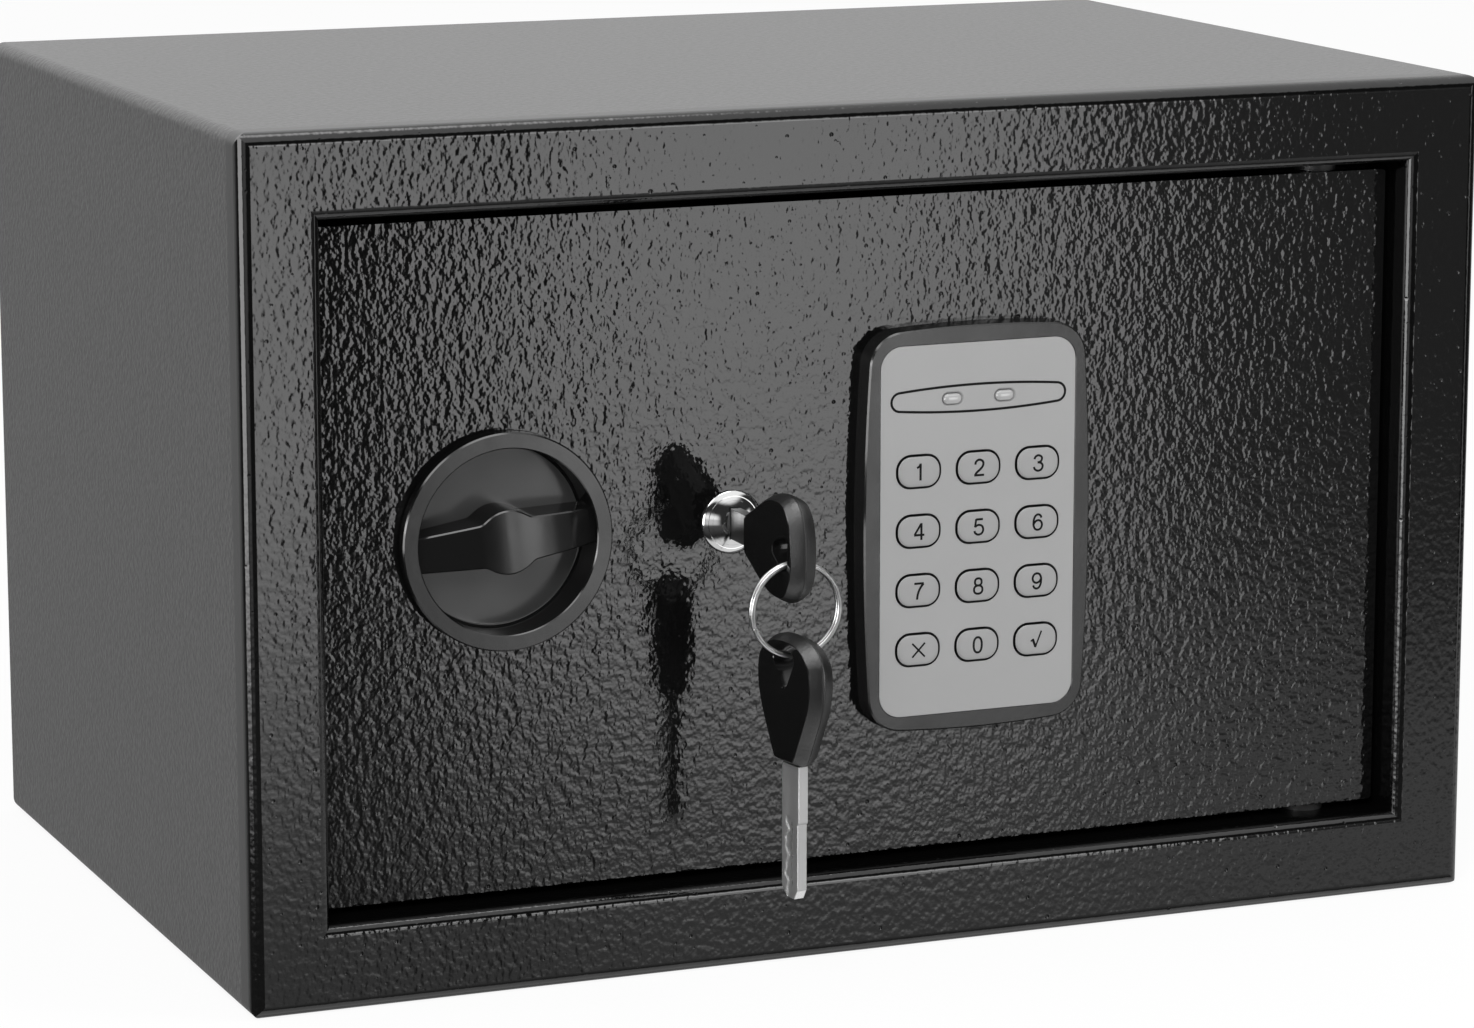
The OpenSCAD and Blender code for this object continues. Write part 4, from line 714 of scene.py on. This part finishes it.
def make_blade(name, place, body, node, mat):
    """Flat steel blade with a wavy track milled in each side and a step in one edge."""
    length, width, thick, bevel = 31.0, 7.2, 2.5, 0.12
    along, across = 124, 30
    track_w, track_depth, track_soft, track_from, track_run = 1.2, 0.2, 0.7, 12.0, 0.8
    step_at, step_run, step = 13.2, 0.25, 0.45
    tip, high_share = 2.2, 0.6

    def edge_low(a):
        return -width / 2 + max(0.0, a - (length - tip))

    def edge_high(a):
        cut = step * min(1.0, max(0.0, (a - step_at) / step_run))
        return width / 2 - cut - max(0.0, a - (length - tip)) * high_share

    def groove(a, b):
        centre = -0.6 + 0.55 * math.sin(a * 0.95) + 0.35 * math.sin(a * 2.1 + 1.0)
        inside = smooth(1.0 - (abs(b - centre) - track_w / 2) / track_soft)
        begin = min(1.0, max(0.0, (a - track_from) / track_run))
        return track_depth * inside * begin

    def at(x, b, a):
        return place((x, b, a + HEAD_LEN))

    bm = bmesh.new()
    places = [length * i / along for i in range(along + 1)]
    sides = []
    for sign in (-1, 1):
        grid = []
        for a in places:
            low, high = edge_low(a) + bevel, edge_high(a) - bevel
            widths = [low + (high - low) * j / across for j in range(across + 1)]
            grid.append(put(bm, [at(sign * (thick / 2 - groove(a, b)), b, a) for b in widths]))
        for i in range(along):
            for j in range(across):
                bm.faces.new((grid[i][j], grid[i + 1][j], grid[i + 1][j + 1], grid[i][j + 1]))
        sides.append(grid)
    flats = (-thick / 2 + bevel, thick / 2 - bevel)
    low_rail = [put(bm, [at(x, edge_low(a), a) for x in flats]) for a in places]
    high_rail = [put(bm, [at(x, edge_high(a), a) for x in flats]) for a in places]
    for i in range(along):
        for rail, column in ((low_rail, 0), (high_rail, across)):
            here = (sides[0][i][column], *rail[i], sides[1][i][column])
            there = (sides[0][i + 1][column], *rail[i + 1], sides[1][i + 1][column])
            for k in range(3):
                bm.faces.new((here[k], there[k], there[k + 1], here[k + 1]))
    for i in (0, along):
        bm.faces.new(sides[0][i] + high_rail[i] + sides[1][i][::-1] + low_rail[i][::-1])
    finish_mesh(bm, name, mat, body, (node,), 30.0)


def make_ring():
    """Split ring: two turns side by side, with a crossing where one becomes the other."""
    turns, count = 2.0, 220
    gap, wire = 1.05, 0.58
    start, cross_from, cross_over = math.radians(200.0), 0.46, 0.08
    path = []
    for i in range(count + 1):
        t = i / count
        a = start + 2 * math.pi * turns * t
        y = (smooth((t - cross_from) / cross_over) - 0.5) * gap
        path.append((LOCK_X + RING_R * math.cos(a), RING_Y + y, RING_Z + RING_R * math.sin(a)))
    bm = bmesh.new()
    tube(bm, path, wire, 14)
    finish_mesh(bm, "split_ring", RING_STEEL, "ring", ("key_ring",), 50.0, False)


def make_keys():
    # the key in the lock gets the darker blade steel, which is painted shade
    for name, place, body, node, steel in (("lock_key", in_lock, "lock_key", "key", SHADED_BLADE_STEEL),
                                           ("spare", on_ring, "spare_key", "spare_key", BLADE_STEEL)):
        make_head(name + "_head", place, body, node + "_head")
        make_blade(name + "_blade", place, body, node + "_blade", steel)
    make_ring()


# Keypad

def cap_outline(i, grow):
    x, z = key_place(i)
    return round_rect(x, z, CAP_W + 2 * grow, CAP_H + 2 * grow, CAP_R + grow, 8)


def lamp_outline(side, grow):
    return round_rect(PAD_X + side * LAMP_OUT, PAD_Z + LAMP_UP, LAMP_W + 2 * grow, LAMP_H + 2 * grow,
                      LAMP_H / 2 + grow, 8)


def pad_holes(bm, y, grow, lamp_grow=0.05):
    """Rows of vertices round the keys and the lamps."""
    outlines = [cap_outline(i, grow) for i in range(len(KEYS))]
    outlines += [lamp_outline(side, lamp_grow) for side in (-1, 1)]
    return [put(bm, at_y(outline, y)) for outline in outlines]


def bow_radius(half, bow):
    """Radius of an arc that stands out by bow over a chord of twice half."""
    return half ** 2 / (2 * bow) + bow / 2


def bowed_outline(w, h, r, side_r, end_r):
    """Outline with round corners whose sides bow outwards, anticlockwise in x and z."""
    side, end = Vector((w / 2 - side_r, 0.0)), Vector((0.0, h / 2 - end_r))
    apart = (end - side).length
    along = (end - side) / apart
    t = ((side_r - r) ** 2 - (end_r - r) ** 2 + apart ** 2) / (2 * apart)
    c = side + along * t + Vector((-along.y, along.x)) * math.sqrt((side_r - r) ** 2 - t * t)
    low = math.degrees(math.atan2(c.y - side.y, c.x - side.x))
    high = math.degrees(math.atan2(c.y - end.y, c.x - end.x))
    quarter = arc(side.x, side.y, side_r, 0, low, 8)[:-1] + arc(c.x, c.y, r, low, high, 12)[:-1]
    quarter += arc(end.x, end.y, end_r, high, 90, 6)
    points = quarter[:-1] + [(-x, z) for x, z in quarter[:0:-1]]
    points += [(-x, -z) for x, z in quarter[:-1]] + [(x, -z) for x, z in quarter[:0:-1]]
    return [(PAD_X + x, PAD_Z + z) for x, z in points]


def make_housing():
    """Black housing with bowed sides and a recess for the faceplate, open at the keys and lamps."""
    corner_r, recess_r = 8.5, 5.5
    side_bow, end_bow, draft, soft, chamfer = 2.0, 1.5, 0.2, 0.38, 0.15
    side_r = bow_radius(HOUSING_H / 2, side_bow)
    end_r = bow_radius(HOUSING_W / 2, end_bow)
    bm = bmesh.new()

    def outer(y, grow):
        w, h = HOUSING_W + 2 * grow, HOUSING_H + 2 * grow
        return at_y(bowed_outline(w, h, corner_r + grow, side_r + grow, end_r + grow), y)

    def recess(y, grow):
        return at_y(round_rect(PAD_X, PAD_Z, PLATE_W + 2 * grow, PLATE_H + 2 * grow, recess_r + grow), y)

    loops = [outer(Y_FACE, 0.0), outer(Y_PAD + soft, -draft), outer(Y_PAD, -draft - soft)]
    rows = loft(bm, loops, False, False)
    loops = [recess(Y_PAD, chamfer), recess(Y_PAD + chamfer, 0.0), recess(Y_WEB, 0.0)]
    inner = loft(bm, loops, False, False)
    fill(bm, [rows[-1], inner[0]])
    front_holes = pad_holes(bm, Y_WEB, CAP_GAP)
    back_holes = pad_holes(bm, Y_FACE, CAP_GAP)
    fill(bm, [inner[-1]] + front_holes)
    fill(bm, [rows[0]] + back_holes)
    for a, b in zip(front_holes, back_holes):
        strip(bm, a, b)
    finish_mesh(bm, "pad_housing", PAD_BLACK, "door", ("keypad_housing",), 25.0)


def make_faceplate():
    """Thin grey plate with a soft edge and a crater round each lamp. Its walls round the keys are black, as
    painted shade in the gaps.
    """
    play, corner_r, edge = 0.1, 5.45, 0.1
    bm = bmesh.new()
    rows, holes = [], []
    for y, grow, crater in ((Y_PAD, -edge, 0.6), (Y_PAD + edge, 0.0, 0.4), (Y_WEB, 0.0, 0.05)):
        w, h = PLATE_W - play + 2 * grow, PLATE_H - play + 2 * grow
        rows.append(put(bm, at_y(round_rect(PAD_X, PAD_Z, w, h, corner_r + grow), y)))
        holes.append(pad_holes(bm, y, CAP_GAP - grow, crater))
    for k in range(2):
        strip(bm, rows[k], rows[k + 1])
        for i, (a, b) in enumerate(zip(holes[k], holes[k + 1])):
            # the walls round the keys take the black print material: painted shade in the gaps
            strip(bm, a, b, 1 if k == 1 and i < len(KEYS) else 0)
    fill(bm, [rows[0]] + holes[0])
    fill(bm, [rows[-1]] + holes[-1])
    finish_mesh(bm, "pad_faceplate", (PAD_GREY, PRINT_AND_GAP_SHADE), "door",
                ("keypad_faceplate",), 25.0)


def make_caps():
    """Grey caps with domed fronts. Their skirts are painted black, as painted shade in the gaps round them.
    """
    # plane, and distance that the outline grows
    skirt = ((Y_WEB + 1.7, 0.0), (CAP_FRONT + 0.55, 0.0), (CAP_FRONT + 0.5, -0.08))
    crown = ((CAP_FRONT + 0.5, -0.08), (CAP_FRONT + 0.3, -0.14), (CAP_FRONT + 0.16, -0.34),
             (CAP_FRONT + 0.07, -0.75), (CAP_FRONT + 0.02, -1.4), (CAP_FRONT, -2.2))
    for i, label in enumerate(KEYS):
        bm = bmesh.new()
        # the skirt takes the black print material, which is painted shade in the gap round the cap
        loft(bm, [at_y(cap_outline(i, grow), y) for y, grow in skirt], True, False, 1)
        loft(bm, [at_y(cap_outline(i, grow), y) for y, grow in crown], False, True)
        finish_mesh(bm, "cap_" + label, (CAP_GREY, PRINT_AND_GAP_SHADE), "key_%s_cap" % label,
                    ("key_" + label,), 50.0)
        make_label(i, label)


PRINT_T = 0.03


def ribbon(bm, points, width, y, closed=False):
    """A flat printed line of even width, drawn in x and z."""
    rows = []
    count = len(points)
    for k in range(count):
        a = Vector(points[k - 1] if closed or k else points[0])
        b = Vector(points[(k + 1) % count] if closed or k < count - 1 else points[-1])
        along = (b - a).normalized()
        normal = Vector((-along.y, along.x)) * (width / 2)
        one, two = Vector(points[k]) + normal, Vector(points[k]) - normal
        rows.append([(one.x, y, one.y), (two.x, y, two.y),
                     (two.x, y + PRINT_T, two.y), (one.x, y + PRINT_T, one.y)])
    loft(bm, rows, not closed, not closed, wrap=closed)


def curve(*points):
    return spline(points, 5)


def bowl(cx, cz, rx, rz):
    """A loop that is a little squarer than an ellipse."""
    steps, power = 36, 2.3
    points = []
    for i in range(steps + 1):
        a = math.radians(360 * i / steps)
        c, s = math.cos(a), math.sin(a)
        points.append((cx + rx * math.copysign(abs(c) ** (2 / power), c),
                       cz + rz * math.copysign(abs(s) ** (2 / power), s)))
    return points


SIX = curve((0.98, 1.0), (0.72, 1.55), (0.12, 1.82), (-0.5, 1.58), (-0.92, 0.85), (-1.08, -0.1),
            (-1.02, -0.85), (-0.65, -1.58), (0.03, -1.83), (0.7, -1.6), (1.08, -0.98), (1.08, -0.32),
            (0.72, 0.24), (0.08, 0.44), (-0.58, 0.18), (-1.0, -0.42))

# strokes of each sign as open lines in millimetres from the middle of its cap, with the stroke's width
GLYPHS = {
    "1": ((curve((-0.72, 1.0), (-0.2, 1.25), (0.2, 1.82)), 0.42), (((0.2, 2.0), (0.2, -2.0)), 0.46)),
    "2": ((curve((-1.05, 0.75), (-0.86, 1.4), (-0.3, 1.8), (0.32, 1.8), (0.92, 1.4), (1.04, 0.8), (0.8, 0.15),
                 (0.1, -0.55), (-0.65, -1.15), (-1.1, -1.8)), 0.44), (((-1.28, -1.8), (1.25, -1.8)), 0.42)),
    "3": ((curve((-1.0, 0.95), (-0.8, 1.45), (-0.25, 1.8), (0.3, 1.78), (0.86, 1.4), (0.9, 0.8), (0.55, 0.3),
                 (-0.2, 0.16)), 0.42),
          (curve((-0.2, 0.16), (0.6, 0.02), (1.08, -0.45), (1.1, -1.0), (0.8, -1.55), (0.2, -1.82),
                 (-0.4, -1.76), (-0.92, -1.4), (-1.12, -0.85)), 0.42)),
    "4": ((((0.52, 2.0), (0.52, -2.0)), 0.44), (((0.45, 1.85), (-1.22, -0.72)), 0.4),
          (((-1.35, -0.8), (1.28, -0.8)), 0.42)),
    "5": ((((1.05, 1.8), (-0.72, 1.8)), 0.42), (((-0.68, 1.9), (-0.98, -0.05)), 0.4),
          (curve((-0.95, 0.0), (-0.5, 0.36), (0.15, 0.46), (0.8, 0.18), (1.1, -0.4), (1.08, -1.05),
                 (0.7, -1.6), (0.08, -1.83), (-0.5, -1.74), (-0.95, -1.35), (-1.12, -0.9)), 0.42)),
    "6": ((SIX, 0.42),),
    "7": ((((-1.2, 1.8), (1.22, 1.8)), 0.42),
          (curve((1.15, 1.75), (0.5, 0.95), (-0.05, -0.05), (-0.35, -1.0), (-0.48, -2.0)), 0.44)),
    "8": ((bowl(0.0, 0.98, 0.86, 0.84), 0.42), (bowl(0.0, -0.86, 1.08, 0.98), 0.42)),
    "9": (([(-x, -z) for x, z in SIX], 0.42),),
    "0": ((bowl(0.0, 0.0, 1.05, 1.82), 0.43),),
    "clear": ((((-1.62, -1.66), (1.62, 1.66)), 0.34), (((-1.62, 1.66), (1.62, -1.66)), 0.34)),
    "enter": ((((-1.45, -0.35), (-0.9, 0.1)), 0.26), (((-0.95, 0.22), (-0.2, -1.75)), 0.5),
              (((-0.25, -1.85), (1.3, 2.05)), 0.28)),
}


def make_label(i, label):
    """Printed strokes, each one a hair in front of the one before it, so that none lie in one plane."""
    x, z = key_place(i)
    bold, ahead, hair = 0.1, 0.02, 0.004
    bm = bmesh.new()
    for layer, (points, width) in enumerate(GLYPHS[label]):
        ribbon(bm, [(x + px, z + pz) for px, pz in points], width + bold, CAP_FRONT - ahead - hair * layer)
    finish_mesh(bm, "label_" + label, PRINT_AND_GAP_SHADE, "key_%s_cap" % label, (), 30.0)


def make_lamps():
    """Two clear domes that stand in shallow craters."""
    foot, rise, inset = Y_PAD + 0.35, 0.85, 1.2
    for side, name in ((-1, "left"), (1, "right")):
        bm = bmesh.new()
        levels = [(Y_WEB + 2.6, 0.0), (foot, 0.0)]
        for a in (15, 30, 45, 60, 75, 84):
            turn = math.radians(a)
            levels.append((foot - rise * math.sin(turn), -inset * (1 - math.cos(turn))))
        loft(bm, [at_y(lamp_outline(side, grow), y) for y, grow in levels])
        node = ("led_lenses",) if side < 0 else ()
        finish_mesh(bm, "lamp_" + name, LENS, "door", node, 60.0)


def make_lamp_line():
    """The printed line round both lamps: round ends, and sides that bow out in the middle."""
    half, end_r, mid, width, steps = 22.3, 2.2, 3.15, 0.58, 30
    straight = half - end_r
    shares = [1 - 2 * k / steps for k in range(1, steps)]
    top = [(straight * share, mid - (mid - end_r) * share ** 2) for share in shares]
    outline = arc(straight, 0.0, end_r, -80, 80, 10) + top + arc(-straight, 0.0, end_r, 100, 260, 10)
    outline += [(-x, -z) for x, z in top]
    points = [(PAD_X + x, PAD_Z + LAMP_UP + z) for x, z in outline]
    bm = bmesh.new()
    ribbon(bm, points, width, Y_PAD - PRINT_T, True)
    finish_mesh(bm, "lamp_outline", PRINT_AND_GAP_SHADE, "door", (), 30.0)


# Inside the door

def make_spring():
    """Coil round the plunger, from the solenoid's frame down to the collar."""
    x, y = -72.0, -80.25
    top, bottom, r, wire = 138.0, 131.3, 3.4, 0.35
    turns, count, seat = 5.0, 150, 0.4
    path = []
    for i in range(count + 1):
        a = 2 * math.pi * turns * i / count
        z = top - seat - (top - bottom - 2 * seat) * i / count
        path.append((x + r * math.cos(a), y + r * math.sin(a), z))
    bm = bmesh.new()
    tube(bm, path, wire, 10)
    piece = finish_mesh(bm, "plunger_coil", STEEL, None, ("plunger_spring",), 50.0, False)
    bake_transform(piece)


# Materials of the CAD pieces that stay

NODE_MATERIALS = (
    (PAINT_SIDE, ("body_shell", "back_panel")),
    (PAINT_FRAME, ("front_frame",)),
    (PAINT_DOOR, ("door_plate",)),
    (PAINT_INSIDE, ("hinge_brackets", "hinge_lugs")),
    (PAINT_COVER, ("door_cover",)),
    (FELT, ("floor_mat",)),
    (STEEL, ("hinge_pins", "solenoid_plunger", "guide_studs", "locking_bolts")),
    (ZINC, ("cover_screws", "lock_nut", "keypad_screws", "solenoid_frame", "bolt_guide", "knob_spindle",
            "knob_clip", "knob_crank", "bolt_carriage", "bolt_screws", "lock_cam", "cam_nut")),
    (CHROME, ("lock_plug",)),
    (CONTACT, ("battery_contacts",)),
    (COIL, ("solenoid_coil",)),
    (KNOB_PLASTIC, ("knob_bush",)),
    (TRAY_BLACK, ("hinge_washers", "battery_box", "battery_cover")),
    (RUBBER, ("key_membrane",)),
    (CIRCUIT, ("keypad_board", "control_board")),
    (CELL_SLEEVE, ("batteries",)),
    (BUTTON_RED, ("reset_button",)),
    (WIRE_SHEATH, ("wiring",)),
)


def dress_nodes():
    for mat, names in NODE_MATERIALS:
        for name in names:
            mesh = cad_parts[name].data
            if mesh.materials:
                for index in range(len(mesh.materials)):
                    mesh.materials[index] = mat
            else:
                mesh.materials.append(mat)


# Stage and light

def make_stage():
    mesh = bpy.data.meshes.new("floor")
    size = 12.0
    corners = [(-size, -size, 0), (size, -size, 0), (size, size, 0), (-size, size, 0)]
    mesh.from_pydata(corners, [], [(0, 1, 2, 3)])
    floor = bpy.data.objects.new("floor", mesh)
    bpy.context.scene.collection.objects.link(floor)
    floor.visible_glossy = False
    mat = bpy.data.materials.new("floor_white")
    mat.use_nodes = True
    tree = mat.node_tree
    tree.nodes.clear()
    graph = Graph(tree)
    seen = graph.add("ShaderNodeLightPath")
    diffuse = graph.add("ShaderNodeBsdfDiffuse", Color=grey(0.8))
    soft = graph.add("ShaderNodeBsdfDiffuse", Color=grey(0.12))
    glow = graph.add("ShaderNodeEmission", Color=grey(1.0), Strength=0.9)
    both = tree.nodes.new("ShaderNodeAddShader")
    tree.links.new(soft.outputs[0], both.inputs[0])
    tree.links.new(glow.outputs[0], both.inputs[1])
    mixed = tree.nodes.new("ShaderNodeMixShader")
    tree.links.new(seen.outputs["Is Camera Ray"], mixed.inputs[0])
    tree.links.new(diffuse.outputs[0], mixed.inputs[1])
    tree.links.new(both.outputs[0], mixed.inputs[2])
    out = tree.nodes.new("ShaderNodeOutputMaterial")
    tree.links.new(mixed.outputs[0], out.inputs[0])
    mesh.materials.append(mat)


DEGREE = math.pi / 180

# soft boxes in front: azimuth from and to, softness of the ends, strength. Angles are in degrees
FRONT_BOXES = ((19.2, 26.3, 0.6, 3.4), (26.9, 40.0, 1.0, 0.2), (54.0, 64.0, 3.0, 1.3),
               (-46.0, -22.0, 6.0, 0.8), (-84.0, -52.0, 3.0, 6.0))


def rise(graph, angle, low, high, start=0.0, end=1.0):
    """A ramp between two angles in degrees."""
    return graph.ramp(angle, low * DEGREE, high * DEGREE, start, end)


def band(graph, angle, low, high, soft):
    """1 between two angles in degrees, 0 outside, with soft ends."""
    return graph.times(rise(graph, angle, low - soft, low + soft),
                       rise(graph, angle, high - soft, high + soft, 1.0, 0.0))


def front_boxes(graph, azimuth, height):
    """The soft boxes in front, with a brighter core and a little stray light between them."""
    core_gain, stray = 0.8, 0.04
    boxes = [graph.times(band(graph, azimuth, low, high, soft), strength)
             for low, high, soft, strength in FRONT_BOXES]
    total = boxes[0]
    for box in boxes[1:]:
        total = graph.plus(total, box)
    core = graph.plus(graph.times(band(graph, height, 0.0, 8.0, 1.0), core_gain), 1.0)
    return graph.plus(graph.times(graph.times(total, core), band(graph, height, -90.0, 12.0, 3.0)), stray)


def front_table(graph, azimuth, height):
    """The table in front: pale under the main soft box, dark beside it, and white close to the safe."""
    table = graph.times(rise(graph, height, -16.5, -13.5, 0.62, 1.1),
                        rise(graph, height, -45.0, -18.0, 0.2, 1.0))
    table = graph.times(table, rise(graph, azimuth, 16.3, 20.5, 0.15, 1.0))
    return graph.plus(table, rise(graph, height, -52.0, -42.0, 1.0, 0.0))


def studio_reflections(graph, azimuth, height):
    """What glossy surfaces see: soft boxes over a table in front, a pale room behind, panels overhead."""
    panel, ceiling_level = 4.0, 1.5
    above = rise(graph, height, -15.4, -10.2)
    front = graph.either(above, front_boxes(graph, azimuth, height), front_table(graph, azimuth, height))
    room = rise(graph, height, -5.0, 15.0, 0.5, 1.3)
    behind = rise(graph, graph.math("ABSOLUTE", azimuth), 95.0, 125.0)
    around = graph.either(behind, room, front)
    left = graph.times(band(graph, height, 12.0, 60.0, 3.0), band(graph, azimuth, -84.0, -50.0, 3.0))
    top = rise(graph, height, 66.0, 72.0)
    ceiling = graph.plus(graph.times(graph.math("MAXIMUM", left, top), panel), ceiling_level)
    return graph.either(rise(graph, height, 32.0, 40.0), ceiling, around)


def make_world():
    """White for the camera. Glossy rays see the studio, and other rays a plain grey."""
    world = bpy.data.worlds.new("room")
    bpy.context.scene.world = world
    world.use_nodes = True
    tree = world.node_tree
    tree.nodes.clear()
    graph = Graph(tree)
    way = graph.add("ShaderNodeTexCoord").outputs["Generated"]
    x, y, z = graph.add("ShaderNodeSeparateXYZ", ("Vector", way)).outputs
    azimuth = graph.math("ARCTAN2", x, graph.times(y, -1.0))
    glossy = studio_reflections(graph, azimuth, graph.math("ARCSINE", z))
    seen = graph.add("ShaderNodeLightPath")
    mirror = graph.math("MAXIMUM", seen.outputs["Is Glossy Ray"], seen.outputs["Is Transmission Ray"])
    level = graph.mix(mirror, grey(0.55), glossy)
    level = graph.mix(seen.outputs["Is Camera Ray"], level, grey(1.0))
    background = graph.add("ShaderNodeBackground", ("Color", level), Strength=1.0)
    out = tree.nodes.new("ShaderNodeOutputWorld")
    tree.links.new(background.outputs[0], out.inputs[0])


# area lamps: place in metres and power in watts
LAMPS = {"lamp_front": ((-0.9, -1.6, 1.3), 22.0), "lamp_right": ((1.6, -1.0, 1.1), 9.0)}
LAMP_SIZE = 0.9
MIDDLE = Vector((0.0, 0.0, 0.1))


def make_studio_lamp(name, place, power):
    """A square lamp that looks at the middle of the safe, and isn't mirrored in it."""
    data = bpy.data.lights.new(name, "AREA")
    data.shape = "SQUARE"
    data.size = LAMP_SIZE
    data.energy = power
    lamp = bpy.data.objects.new(name, data)
    lamp.location = place
    lamp.rotation_euler = (MIDDLE - Vector(place)).to_track_quat("-Z", "Y").to_euler()
    lamp.visible_glossy = False
    bpy.context.scene.collection.objects.link(lamp)


def light():
    make_world()
    for name, (place, power) in LAMPS.items():
        make_studio_lamp(name, place, power)
    bpy.context.scene.view_settings.view_transform = "Standard"


make_camera()
dress_nodes()
make_knob()
make_grip()
make_lock_body()
make_plug_cap()
make_keys()
make_housing()
make_faceplate()
make_caps()
make_lamps()
make_lamp_line()
make_spring()
make_stage()
light()
